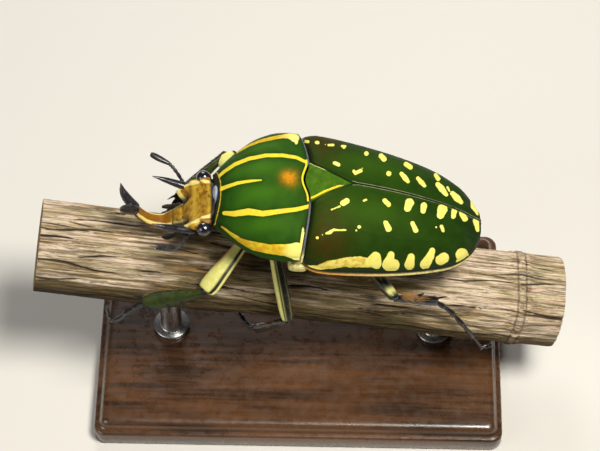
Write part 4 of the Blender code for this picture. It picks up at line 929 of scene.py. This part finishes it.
def build_elytra():
    material = material_elytron()
    tops, bottoms, lip, rim_radius = 150, 26, 0.2, 0.35
    xs = np.concatenate([[0.7 + lip], np.linspace(1.05, 37.0, 260), [37.4 - lip]])[:, None]
    width, margin, crest = read_stations(ELYTRA, xs[:, 0]).T[..., None]
    slant = 1 - (xs - SCUTELLUM_START) / (SCUTELLUM_TIP - SCUTELLUM_START)
    inner = SCUTELLUM_HALF_WIDTH * np.maximum(0.0, slant) + GAP * (0.8 - 0.6 * ease(xs - SCUTELLUM_TIP))
    start = np.arcsin(np.minimum(1.0, inner / width) ** (DORSAL_FULLNESS / 2))
    turn = start + (math.pi / 2 - start) * np.linspace(0, 1, tops)
    y = width * np.sin(turn) ** (2 / DORSAL_FULLNESS)
    z = margin + (crest - margin) * np.maximum(0.0, np.cos(turn)) ** (2 / DORSAL_FULLNESS)
    arc = arc_from_middle(y, z) + inner
    u = xs + np.zeros((1, tops))
    from_margin, from_seam = arc[:, -1:] - arc, arc - inner
    lift = 0.10 * bell(from_margin, 0.3, 0.3) - 0.08 * bell(from_margin, 1.0, 0.4)
    lift = lift + 0.09 * bell(from_seam, 0.25, 0.3) - 0.06 * bell(from_seam, 0.95, 0.35)
    lift = lift + 0.28 * bell(u, 3.4, 1.7) * bell(arc, 12.2, 1.9)
    lift = lift + 0.30 * bell(u, 32.6, 1.8) * bell(arc, 5.9, 1.7)
    for place in (3.4, 6.6, 9.6):
        lift = lift + 0.045 * bell(arc, place * (1 - 0.35 * ease((u - 18) / 18)), 0.35) * ease((u - 8) / 5)
    lift = lift * ease((u - 0.9) / 1.2)
    top = np.stack([xs + rear_edge(y, width) * (1 - ease((xs - 0.7) / 6.0)), y, z], -1)
    normal = normals(top)
    top = top + normal * lift[..., None]
    # below the margin a rounded rim, then a nearly flat underside
    t = np.linspace(0, 1, bottoms)[1:]
    bend, inward = np.minimum(t / 0.25, 1.0) * math.pi / 2, np.maximum(t - 0.25, 0.0) / 0.75
    below_y = width - rim_radius + rim_radius * np.cos(bend) + (inner - width + rim_radius) * inward
    below_z = margin - rim_radius * np.sin(bend) + rim_radius * inward
    below = np.stack([xs + 0 * t, np.maximum(below_y, inner), below_z], -1)
    rim = np.minimum(np.minimum(from_margin - 0.4 - 0.35 * ease((u - 5) / 8), from_seam - 0.09), u - 0.95)
    # painted shade: deeper green towards the margin, the tail and the base
    shade = 0.75 * ease((3.2 - from_margin) / 3.0) + 0.6 * ease((u - 30) / 7) + 0.35 * ease((2.4 - u) / 1.6)
    stain = 1.1 * bell(u, 4.4, 4.6) * bell(arc, 13.0, 4.2) + 0.6 * bell(u, 4.0, 3.4) * bell(arc, 7.5, 3.6)
    column = np.arange(tops + bottoms - 1)
    for (name, side), strokes in zip(SIDES, (SPOTS_LEFT, SPOTS_RIGHT)):
        facing = normal * (1, side, 1)
        spots = photo_distance(top * (1, side, 1), facing, REAR_PART, strokes)
        if side > 0:
            spots = np.where(spots > FAR - 1, stroke_distance(u, arc, HIDDEN_SPOTS), spots)
        distances = {
            "spots": spots, "band": photo_distance(top * (1, side, 1), facing, REAR_PART, SHOULDER_BAND),
            "seam_line": np.abs(from_seam - 0.2) - 0.055 + FAR * (u < 9.4), "rim": rim}
        # painted light: brighter green in the middle of each wing case
        shares = {"glow": 0.7 * bell(u, 13.0, 9.0) * bell(arc, 5.5, 3.2), "shade": np.clip(shade, 0, 0.92),
                  "stain": stain}
        draft = Draft()
        draft.loft(
            np.concatenate([top, below], 1) * (1, side, 1), lip,
            **{key: widened(value, bottoms - 1, FAR) for key, value in distances.items()},
            **{key: widened(value, bottoms - 1, 0.0) for key, value in shares.items()},
            below=column >= tops + 4, lower_line=np.where((column >= tops) & (column < tops + 6), -0.2, FAR))
        draft.finish("wing_case_" + name, material, "dark_green", "elytron_" + name)


def build_scutellum():
    rings, across, lower = 90, 71, 7
    shares = np.linspace(0.0, 0.975, rings)[:, None]
    xs = SCUTELLUM_START + (SCUTELLUM_TIP - SCUTELLUM_START) * shares
    half = SCUTELLUM_HALF_WIDTH * (1 - shares)
    crest = read_stations(ELYTRA, np.maximum(xs[:, 0], SCUTELLUM_CREST_START))[:, 2:3]
    t, back = np.linspace(-1, 1, across), np.linspace(1, -1, lower)
    from_side = half * (1 - np.abs(t))
    z = crest - 0.12 * t ** 2 - 0.16 * np.exp(-from_side / 0.12) + 0.05 * bell(from_side, 0.45, 0.2)
    top, bottom = (
        np.stack([xs + front_bow(half * place) * (1 - shares), half * place, height], -1)
        for place, height in ((t, z), (back, crest - 3.0 + 0 * back)))
    left = from_side + FAR * (t > 0) - 0.5 + 0.42 * ease((xs - 6.6) / 1.6)
    right = from_side + FAR * (t < 0) - 0.28 + 0.4 * ease((xs - 3.6) / 1.4)
    draft = Draft()
    draft.loft(np.concatenate([top, bottom], 1), left_line=widened(left, lower, FAR),
               right_line=widened(right, lower, FAR), rim=widened(from_side - 0.12, lower, FAR))
    draft.finish("scutellum_plate", material_scutellum(), "light_green", "scutellum")


def underside_grid(start, end, rings, steps):
    """The body's lower side; steps are the places where one segment overlaps the next."""
    xs = np.linspace(start, end, rings)[:, None]
    width, floor = read_stations(UNDERSIDE, xs[:, 0]).T[..., None]
    margin = read_stations(ELYTRA, xs[:, 0])[:, 1:2] - 0.5 - np.where(xs < 0, 4.6 * ease(-xs / 3.0), 0.0)
    turn = np.linspace(0, math.pi, 121)
    y = width * power(np.cos(turn), 2 / BELLY_FULLNESS[0])
    z = margin - (margin - floor) * np.maximum(np.sin(turn), 0) ** (2 / BELLY_FULLNESS[1])
    sink = np.zeros_like(y)
    for place in steps:
        away = xs - place + 0.9 * (np.abs(y) / 12.0) ** 2
        sink = sink + 0.34 * np.exp(-np.clip(away, 0, None) / 0.9) * (away >= 0)
        sink = sink + 0.18 * bell(away, 0.05, 0.12)
    reach = 1 - sink * np.sin(turn) ** 0.7 / np.maximum(np.hypot(y, z - margin), 1.0)
    y, z = y * reach, margin + (z - margin) * reach
    top_y = np.linspace(-0.6, 0.6, 5) * width
    flank = (1 - ease((margin - z - 0.9) / 0.9)) * ease(xs / 1.5)
    grid = np.stack([xs + 0 * y, y, z], -1)
    upper = np.stack([xs + 0 * top_y, top_y, margin + 0 * top_y], -1)
    return np.concatenate([grid, upper], 1), widened(flank, 5, 0.0)


def build_underside():
    material, line = material_belly(), material_cream_plate("margin_line")
    draft = Draft()
    grid, flank = underside_grid(-3.5, 12.5, 110, (3.4,))
    draft.loft(grid, flank=flank)
    for (x, y, z), size, lean in COXAE:
        for _, side in SIDES:
            draft.loft(ellipsoid((x, y * side, z), size, 23, 40, lean * side, math.pi / 24))
    draft.finish("chest_plates", material, "black", "thorax_under")
    draft = Draft()
    grid, flank = underside_grid(12.9, 36.8, 230, (16.6, 20.6, 24.5, 28.2, 31.6, 34.4))
    draft.loft(grid, 0.2, flank=flank)
    draft.finish("belly_plates", material, "black", "abdomen")
    # the pale line under each wing case's margin, and the skin that shows between pronotum and wing cases
    xs = np.linspace(1.3, 36.3, 120)
    width, margin = read_stations(ELYTRA, xs)[:, :2].T
    radius = 0.43 * np.sin(math.pi * np.linspace(0.06, 0.94, 120)) ** 0.4
    turn = np.linspace(0.02, 0.42, 70) * math.pi
    y = 14.0 * power(np.cos(turn), 2 / DORSAL_FULLNESS)
    z = -7.6 + 6.6 * power(np.sin(turn), 2 / DORSAL_FULLNESS) - 0.3
    x = 0.42 + 0.9 * rear_edge(y, 14.3)
    for name, side in SIDES:
        draft = Draft()
        path = np.column_stack([xs, side * (width - 0.3), margin - 0.8, radius])
        draft.loft(tube_grid(path, 20), amber=ease((22 - xs) / 16)[:, None] * 0.85)
        draft.finish("margin_line_" + name, line, "cream")
        draft = Draft()
        path = np.column_stack([x, y * side, z, 0.26 + 0 * x])
        draft.loft(tube_grid(path, 16), 0.2, dark=ease((z + 6.2) / 1.6)[:, None])
        draft.finish("hinge_skin_" + name, line, "cream")
    # the neck skin's pale blue-grey colour is a painted highlight on the dark neck
    draft = Draft()
    draft.loft(ellipsoid((-15.8, 0.6, -10.4), (0.75, 2.3, 3.8)))
    draft.finish("neck_skin", material_black("neck_grey", (0.2, 0.23, 0.32), 0.16), "black")


def build_epimera():
    material = material_cream_plate("side_plate")
    heights = np.linspace(EPIMERON[0][0], EPIMERON[-1][0], 30)[:, None]
    front, rear, inner, outer = read_stations(EPIMERON, heights[:, 0]).T[..., None]
    turn = circle(48)
    x = (front + rear) / 2 + (rear - front) / 2 * power(np.cos(turn), 0.55)
    y = (inner + outer) / 2 + (outer - inner) / 2 * power(np.sin(turn), 0.55)
    for name, side in SIDES:
        draft = Draft()
        draft.loft(np.stack([x, y * side, heights + 0 * x], -1), 0.25, dark=ease((-11.0 - heights) / 1.2))
        draft.finish("side_plate_" + name, material, "cream", "epimeron_" + name)


def head_grid():
    rings, sides = 110, 150
    tops = sides // 2
    x, margin, brim, hollow, half_width, depth = smooth_path(HEAD, rings).T[..., None]
    share = np.abs(np.cos(np.linspace(0, math.pi, tops)))
    y_top = brim * np.cos(np.linspace(0, math.pi, tops))
    z_top = margin - hollow * (1 - share ** 2) + 0.16 * bell(share, 0.97, 0.1)
    s = np.linspace(math.pi, 2 * math.pi, sides - tops + 2)[1:-1]
    y_low = half_width * power(np.cos(s), 0.85)
    z_low = margin - 0.9 - (depth - 0.9) * np.abs(np.sin(s)) ** 0.75
    z_low = z_low + 0.55 * (1 - ease(np.clip(np.abs(np.sin(s)) / 0.5, 0, 1)))
    # the plate is thin beside the horn, where the notches leave it as a point on each side
    thin = margin - hollow * (1 - np.clip(np.abs(y_low) / brim, 0, 1) ** 2) - 0.7
    thinned = ease((-19.6 - x) / 1.6) * ease((np.abs(y_low) - 1.6) / 0.6)
    z_low = z_low + np.maximum(thin - z_low, 0.0) * thinned
    y, z = np.concatenate([y_top, y_low], 1), np.concatenate([z_top, z_low], 1)
    notch = NOTCH * ease((-19.8 - x) / 2.4) * bell(np.abs(y), NOTCH_SIDE, NOTCH_WIDTH)
    grid = np.stack([x + notch, y, z], -1)
    # the front edge closes along its own line, so that nothing spans the notches
    front = grid[-1].copy()
    top, low = front[:tops][::-1], front[tops:]
    front[:, 2] = sum(np.interp(front[:, 1], edge[:, 1], edge[:, 2]) for edge in (top, low)) / 2
    front[:, 0] -= 0.2
    points, faces = capped(np.concatenate([grid, front[None]]))
    last, end = (rings + 3) * sides, (rings + 5) * sides
    return points, [face for face in faces if not any(last <= k < end or k == end + 1 for k in face)]


def horn_grid():
    x, z, half_width, thickness = smooth_path(HORN_PATH, 90).T
    centre = np.stack([x, 0 * x, z], -1)
    along = unit(np.gradient(centre, axis=0))
    up = np.stack([along[:, 2], 0 * x, -along[:, 0]], -1)
    turn = circle(48)
    lift = power(np.sin(turn), 0.9) * thickness[:, None]
    hollow = 0.18 * np.maximum(np.sin(turn), 0) * bell(np.cos(turn), 0.0, 0.4)
    y = half_width[:, None] * np.cos(turn)
    return centre[:, None] + up[:, None] * (lift - hollow)[..., None] + np.stack([0 * y, y, 0 * y], -1)


def remeshed(name, draft, voxel, smooth):
    """One skin round the draft's overlapping surfaces, and the places of its points in mm."""
    item = bpy.data.objects.new(name + "_rough", draft.mesh(name + "_rough"))
    bpy.context.scene.collection.objects.link(item)
    modifier = item.modifiers.new("skin", "REMESH")
    modifier.mode = "VOXEL"
    modifier.voxel_size = voxel * MM
    relax = item.modifiers.new("relax", "SMOOTH")
    relax.factor = 0.5
    relax.iterations = smooth
    bpy.context.view_layer.update()
    mesh = bpy.data.meshes.new_from_object(item.evaluated_get(bpy.context.evaluated_depsgraph_get()))
    bpy.data.objects.remove(item)
    mesh.name = name
    mesh.shade_smooth()
    points = np.zeros(len(mesh.vertices) * 3)
    mesh.vertices.foreach_get("co", points)
    back = draft.local.inverted()
    return mesh, (points.reshape(-1, 3) @ np.array(back.to_3x3()).T + np.array(back.translation)) / MM


def build_head():
    draft = Draft()
    draft.add(*head_grid())
    draft.loft(horn_grid())
    for _, side in SIDES:       # the tab over each eye, the socket below it, the jaw and its palp
        draft.loft(ellipsoid((-17.3, 4.35 * side, -9.75), (1.35, 1.0, 0.42), turn=16 * side))
        draft.loft(ellipsoid((-19.0, 4.75 * side, -11.6), (1.5, 0.9, 1.1)))
        draft.loft(ellipsoid((-19.5, 2.3 * side, -16.2), (1.4, 1.6, 0.8)))
        path = smooth_path(mirrored(PALP_PATH, side), 30)
        path[:, 3] *= 1 + 0.18 * np.sin(np.linspace(0, 3 * math.pi, 30))
        draft.loft(tube_grid(path, 20), 0.22)
    draft.loft(ellipsoid((-20.6, 0, -16.7), (1.3, 1.7, 0.7)))
    mesh, points = remeshed("head_capsule", draft, 0.1, 3)
    x, y, z = points.T
    y = np.abs(y)
    rows, horn_rows = np.array(HEAD)[::-1].T, np.array(HORN_PATH)[::-1].T
    margin, brim = np.interp(x, rows[0], rows[1]), np.interp(x, rows[0], rows[2])
    above, horn_width = z - np.interp(x, horn_rows[0], horn_rows[1]), np.interp(x, horn_rows[0], horn_rows[2])
    on_head = x > -23.2
    front = np.abs(x + 22.7 - NOTCH * bell(y, NOTCH_SIDE, NOTCH_WIDTH)) * 0.8
    front = front + FAR * ((y < 2.0) | (y > brim) | (x < -23.2))
    edge = np.minimum(np.hypot(y - brim, (z - margin) * 0.8), front)
    horn_edge = np.hypot(y - horn_width * 0.85, above - 0.55)
    pale = np.where(on_head, edge - 0.42, horn_edge - 0.38)
    pale = np.where((x < -20.4) & (x > -24.5), np.minimum(edge - 0.42, horn_edge - 0.34), pale)
    by_eye = bell(x, -17.2, 1.3) * bell(y, 4.4, 1.1) * (z > -10.6)
    amber = np.clip(0.85 * ease((-22.4 - x) / 2.0) + 0.9 * by_eye, 0, 1)
    under = ease((margin - 1.5 - z) / 1.6) * on_head + ease((-0.35 - above) / 0.5) * (x < -22.8)
    under = np.maximum(under, np.maximum(ease((-30.0 - x) / 0.5), ease((x + 16.9) / 0.5)))
    under = np.maximum(under, (y > horn_width + 0.4) & (x < -22.9) | (z < -17.0) & (x > -23.5))
    # painted light: two paler bands across the hollow plate
    bands = 0.7 * on_head * (y < brim) * (bell(x, -17.0, 0.35) + bell(x, -19.4, 0.5))
    set_values(mesh, points, {
        "pale_edge": pale, "amber": amber, "bands": bands, "dark": np.clip(under, 0, 1) * 0.97})
    finish_piece(mesh, material_head(), "ochre", "head", "horn_shaft")

    gloss = material_black("horn_black")
    draft = Draft()
    for _, side in SIDES:
        draft.loft(tube_grid(smooth_path(mirrored(PRONG_PATH, side), 60), 32), 0.08)
    draft.loft(ellipsoid((-31.0, 0, -14.1), (0.9, 1.25, 0.85)))
    mesh, points = remeshed("horn_tip", draft, 0.07, 2)
    set_values(mesh, points, {})
    finish_piece(mesh, gloss, "black", "horn_fork")
    for name, side in SIDES:
        draft = Draft()
        draft.loft(tube_grid(smooth_path(mirrored(SIDE_HORN_PATH, side), 70), 36, 0.85), 0.06)
        draft.finish("cheek_horn_" + name, gloss, "black", "side_horn_" + name)
    eye = material_eye()
    for name, side in SIDES:
        draft = Draft()
        draft.loft(ellipsoid((-17.65, 5.9 * side, -10.9), (1.5, 1.42, 1.46), 60, 72))
        draft.finish("eyeball_" + name, eye, "black", "eye_" + name)


def build_antennae():
    material = material_black("feeler_black", (0.02, 0.019, 0.021), 0.24)
    share = np.linspace(0, 1, 90)
    beads = np.abs(np.sin(math.pi * (share * 7.0))) ** 0.6
    scape = ease((0.34 - share) / 0.08)
    radius = 0.24 + 0.13 * beads * (1 - scape)
    radius = radius + 0.17 * scape * np.sin(math.pi * np.clip(share / 0.36, 0, 1)) ** 0.6
    for name, side in SIDES:
        path = smooth_path(mirrored(ANTENNA_STALK[name], side), 90)
        draft = Draft()
        draft.loft(tube_grid(np.column_stack([path, radius]), 24), 0.1)
        root, tip = path[-1], np.array(ANTENNA_TIP[name], float) * (1, side, 1)
        along = unit(tip - root)
        across = unit(np.cross(along, (0, 0, 1)))
        up = np.cross(across, along)
        for offset in (-0.42, 0.0, 0.42):
            start = root - along * 0.3 + up * offset * 0.4
            draft.loft(limb_grid(start, tip + up * offset, CLUB_PROFILE, across, 36, 26)[0])
        draft.finish("feeler_" + name, material, "black", "antenna_" + name)


def build_leg(name, leg, cream, olive, black):
    """One leg; returns what its hair needs."""
    pair = name.split("_")[0]
    fore = pair == "fore"
    coxa, knee, ankle, toes, claws, broad = leg
    coxa = np.array(BEETLE_IN_BRANCH @ (Vector(coxa) * MM)) / MM
    knee, ankle, claws = (np.array(place, float) for place in (knee, ankle, claws))
    lower = unit(ankle - knee)
    draft = Draft(BRANCH)
    grid, share, turn, (_, wide, thick) = limb_grid(coxa, knee, FEMUR_PROFILES[pair], lower, 70, 44)
    face = wide * np.cos(turn)[:, None] + thick * np.sin(turn)[:, None]
    if fore:                # cream but for a dark stripe of painted shade before the pale hind ridge
        cream_face = np.maximum(ease((np.cos(turn) + 0.72) / 0.1), ease((-0.92 - np.cos(turn)) / 0.03))
    elif pair == "mid":     # a cream strip on the side towards the head
        cream_face = ease((face @ np.array((-0.94, 0.0, 0.33)) - 0.5) / 0.16)
        # painted highlight: a narrow cream sliver along one side of the dark part
        cream_face = np.maximum(cream_face, 0.6 * bell(face @ np.array((0.35, -0.75, 0.56)), 0.86, 0.03))
    else:                   # dark but for a cream patch of painted highlight on the top above the knee
        cream_face = 0.8 * ease((face[:, 2] - 0.5) / 0.3) * bell(share, 0.88, 0.055)
    front = ease((np.cos(turn) - 0.15) / 0.6) * (1 - ease((share - 0.45) / 0.3)) * fore
    dark = np.maximum(1 - cream_face, ease((share - (0.985 if fore else 0.955)) / 0.015))
    draft.loft(grid, front=front, dark=np.maximum(dark, ease((0.12 - share) / 0.08)))
    draft.finish("thigh_" + name, cream, "cream", "femur_" + name)

    draft = Draft(BRANCH)
    start, profile = knee - lower * 0.4, TIBIA_PROFILES[pair]
    grid, share, turn, (along, flat, thin) = limb_grid(start, ankle, profile, broad, 80, 40)
    keel = 0.10 * bell(np.abs(np.sin(turn)), 1.0, 0.12) * ease((share - 0.08) / 0.15)
    groove = 0.08 * bell(np.abs(np.sin(turn)), 0.72, 0.1) * ease((share - 0.1) / 0.15)
    grid = grid + unit(grid - grid.mean(1, keepdims=True)) * (keel - groove)[..., None]
    dark = ease((0.1 - share) / 0.06) + ease((share - 0.93) / 0.05)
    draft.loft(grid, dark=np.clip(dark + 0.8 * ease((np.abs(np.cos(turn)) - 0.9) / 0.08), 0, 1))
    for place in TIBIA_TEETH[pair]:
        breadth = read_stations(profile, place)[0, 0]
        middle = start + (ankle - start) * place
        root = middle + flat * breadth * 0.4 - along * 0.25
        tip = middle + flat * (breadth + 1.45) + along * 0.5
        draft.loft(cone(root, tip, 0.62, bend=-along * 0.12), dark=1.0)
    for _, side in SIDES:
        root, tip = ankle - along * 0.7 + flat * 0.85 * side, ankle + along * 1.5 + flat * 1.85 * side
        draft.loft(cone(root, tip, 0.27, bend=flat * 0.1 * side), dark=1.0)
    rng = random.Random("spines" + name)
    for _ in range(26):
        place, angle = rng.uniform(0.15, 0.97), rng.choice((0.0, math.pi)) + rng.uniform(-0.5, 0.5)
        root, out = limb_spot(start, ankle, profile, place, angle, flat, thin, 0.9)
        tip = root + out * rng.uniform(0.25, 0.5) + along * rng.uniform(0.3, 0.6)
        draft.loft(cone(root, tip, 0.05, 5, 4), dark=1.0)
    draft.finish("shin_" + name, olive if fore else black, "dark_green" if fore else "black", "tibia_" + name)

    draft = Draft(BRANCH)
    toes = [np.array(point, float) for point in toes]
    segments, steps = 5, 18
    path = smooth_path([ankle - lower * 0.5, *toes], segments * steps + 1)
    t = np.linspace(0, 1, steps + 1)
    for k in range(segments):
        piece = path[k * steps: (k + 1) * steps + 1]
        lead = unit(piece[-1] - piece[-3])
        size = 0.55 * (1 - 0.1 * k / segments)
        radius = size * (0.68 + 0.36 * ease(t / 0.85)) * np.where(t > 0.93, 0.86, 1.0)
        if k == segments - 1:
            radius = size * (0.55 + 0.35 * ease(t))
        draft.loft(tube_grid(np.column_stack([piece, radius]), 22), 0.12)
        across = unit(np.cross(lead, toes[-1] - ankle + np.array((0.1, 0.2, 0.3))))
        for _, side in SIDES:
            root = piece[-2] + across * 0.3 * side
            draft.loft(cone(root, root + lead * 0.75 + across * 0.4 * side, 0.1, 8, 6))
    root = toes[-1]
    forward = unit(toes[-1] - toes[-2])
    across = unit(np.cross(forward, claws - root))
    for _, side in SIDES:
        end = claws + across * 0.6 * side
        middle = (root + end) / 2 + forward * 0.5
        rows = [(*(root - forward * 0.3), 0.3), (*(root * 0.4 + middle * 0.6), 0.28), (*middle, 0.24),
                (*(middle * 0.4 + end * 0.6), 0.16), (*end, 0.03)]
        draft.loft(tube_grid(smooth_path(rows, 40), 18), 0.03)
    draft.finish("foot_" + name, black, "black", "tarsus_" + name)
    return coxa, knee, start, ankle, flat, thin, along


def build_hair(legs):
    """Short bristles: a fringe under the body and along the thighs and shins."""
    rng = random.Random(11)
    draft = Draft(BRANCH)
    maps = []

    def tuft(root, direction, length, radius, where):
        droop = length * np.array([rng.uniform(low, high) for low, high in HAIR_DROOP])
        t = np.array([0.0, 0.35, 0.7, 1.0])[:, None]
        centres = root + unit(direction) * length * t + droop * t ** 2
        before = draft.count
        rows = np.column_stack([centres, radius * np.array([1.0, 0.85, 0.5, 0.08])])
        draft.loft(tube_grid(rows, 3), length=t)
        maps.append((before, draft.count, where))

    back, shift = np.array(BEETLE_IN_BRANCH.to_3x3()), np.array(BEETLE_IN_BRANCH.translation) / MM
    for _ in range(1500):   # under the chest and the belly's sides
        x = rng.uniform(-3.0, 20.0)
        width, floor = read_stations(UNDERSIDE, x)[0]
        margin = read_stations(ELYTRA, x)[0, 1] - 0.5 - (4.6 * float(ease(-x / 3.0)) if x < 0 else 0.0)
        side, turn = rng.choice((-1, 1)), rng.uniform(0.25, 1.2)
        y = width * math.cos(turn) ** (2 / BELLY_FULLNESS[0]) * side
        z = margin - (margin - floor) * math.sin(turn) ** (2 / BELLY_FULLNESS[1])
        out = np.array([0.5, side * math.cos(turn), -math.sin(turn)])
        where = (0.02 * x, 0.3 + 0.1 * turn * side)
        tuft(back @ np.array([x, y * 0.99, z]) + shift, back @ out, rng.uniform(0.5, 1.2), 0.035, where)
    for k, (name, (coxa, knee, start, ankle, flat, thin, along)) in enumerate(legs.items()):
        thigh = unit(knee - coxa)
        inner = unit(along - along.dot(thigh) * thigh)
        pair = name.split("_")[0]
        hind = pair == "hind"
        for _ in range(120):
            share, angle = rng.uniform(0.15, 0.92), rng.choice((0.0, math.pi)) + rng.gauss(0, 0.22)
            root, out = limb_spot(
                coxa, knee, FEMUR_PROFILES[pair], share, angle, inner, np.cross(thigh, inner), 0.96)
            tuft(root, out + thigh * 1.4, rng.uniform(0.3, 0.6), 0.022, (0.6 + 0.03 * share, 0.1 + 0.1 * k))
        for _ in range(420 if hind else 90):
            share = rng.triangular(0.08, 0.7, 0.2) if hind else rng.uniform(0.12, 0.95)
            angle = rng.gauss(0, 0.5) if hind else math.pi + rng.gauss(0, 0.3)
            root, out = limb_spot(start, ankle, TIBIA_PROFILES[pair], share, angle, flat, thin, 0.96)
            reach = rng.uniform(0.8, 1.5) if hind else rng.uniform(0.3, 0.6)
            tuft(root, out + along * 1.2, reach, 0.026, (0.7 + 0.03 * share, 0.1 + 0.1 * k))
    mesh = draft.mesh("bristles")
    layer = mesh.uv_layers.new(name="OFBake")
    spots = np.zeros((len(mesh.vertices), 2))
    for first, last, where in maps:
        ring = np.arange(first, last)
        spots[ring] = np.array(where) + 0.0015 * np.stack([np.cos(ring * 2.1), np.sin(ring * 2.1)], -1)
    corners = np.zeros(len(mesh.loops), np.int64)
    mesh.loops.foreach_get("vertex_index", corners)
    layer.data.foreach_set("uv", spots[corners].astype(np.float32).ravel())
    finish_piece(mesh, material_hair(), "ochre")


def look_at(item, target):
    item.rotation_euler = (Vector(target) - item.location).to_track_quat("-Z", "Y").to_euler()


def build_scene():
    scene = bpy.context.scene
    camera = bpy.data.objects.new("camera", bpy.data.cameras.new("camera"))
    scene.collection.objects.link(camera)
    camera.location = CAMERA * MM
    camera.data.sensor_width = SENSOR_WIDTH
    camera.data.lens = PIXELS_PER_MM * DISTANCE * SENSOR_WIDTH / PHOTO_WIDTH
    camera.data.clip_start, camera.data.clip_end = 0.01, 20.0
    look_at(camera, TARGET * MM)
    scene.camera = camera

    mesh = bpy.data.meshes.new("floor")
    line = np.linspace(-FLOOR_HALF, FLOOR_HALF, 9)
    mesh.from_pydata([(x, y, 0.0) for x in line for y in line], [], grid_faces(9, 9, False).tolist())
    floor = bpy.data.objects.new("floor", mesh)
    scene.collection.objects.link(floor)
    paint = Shader("floor_pale", 0.7)
    paint.set("Base Color", (0.62, 0.6, 0.57))
    mesh.materials.append(paint.material)

    world = bpy.data.worlds.new("studio")
    scene.world = world
    world.use_nodes = True
    background = world.node_tree.nodes["Background"]
    background.inputs["Color"].default_value = (1.0, 0.99, 0.97, 1.0)
    background.inputs["Strength"].default_value = 0.07
    for name, place, size, strength, colour in LAMPS:
        lamp = bpy.data.lights.new(name, "AREA")
        lamp.shape, lamp.size, lamp.energy, lamp.color = "DISK", size, strength, colour
        item = bpy.data.objects.new(name, lamp)
        scene.collection.objects.link(item)
        item.location = place
        look_at(item, (0, 0, 0.04))
    scene.view_settings.view_transform = "Standard"


def main():
    build_perch()
    build_stand()
    build_pronotum()
    build_elytra()
    build_scutellum()
    build_underside()
    build_epimera()
    build_head()
    build_antennae()
    cream, olive = material_femur(), material_fore_tibia()
    black = material_black("leg_black", (0.006, 0.006, 0.007), 0.16)
    legs = {name: build_leg(name, leg, cream, olive, black) for name, leg in LEGS.items()}
    build_hair(legs)
    build_scene()


main()
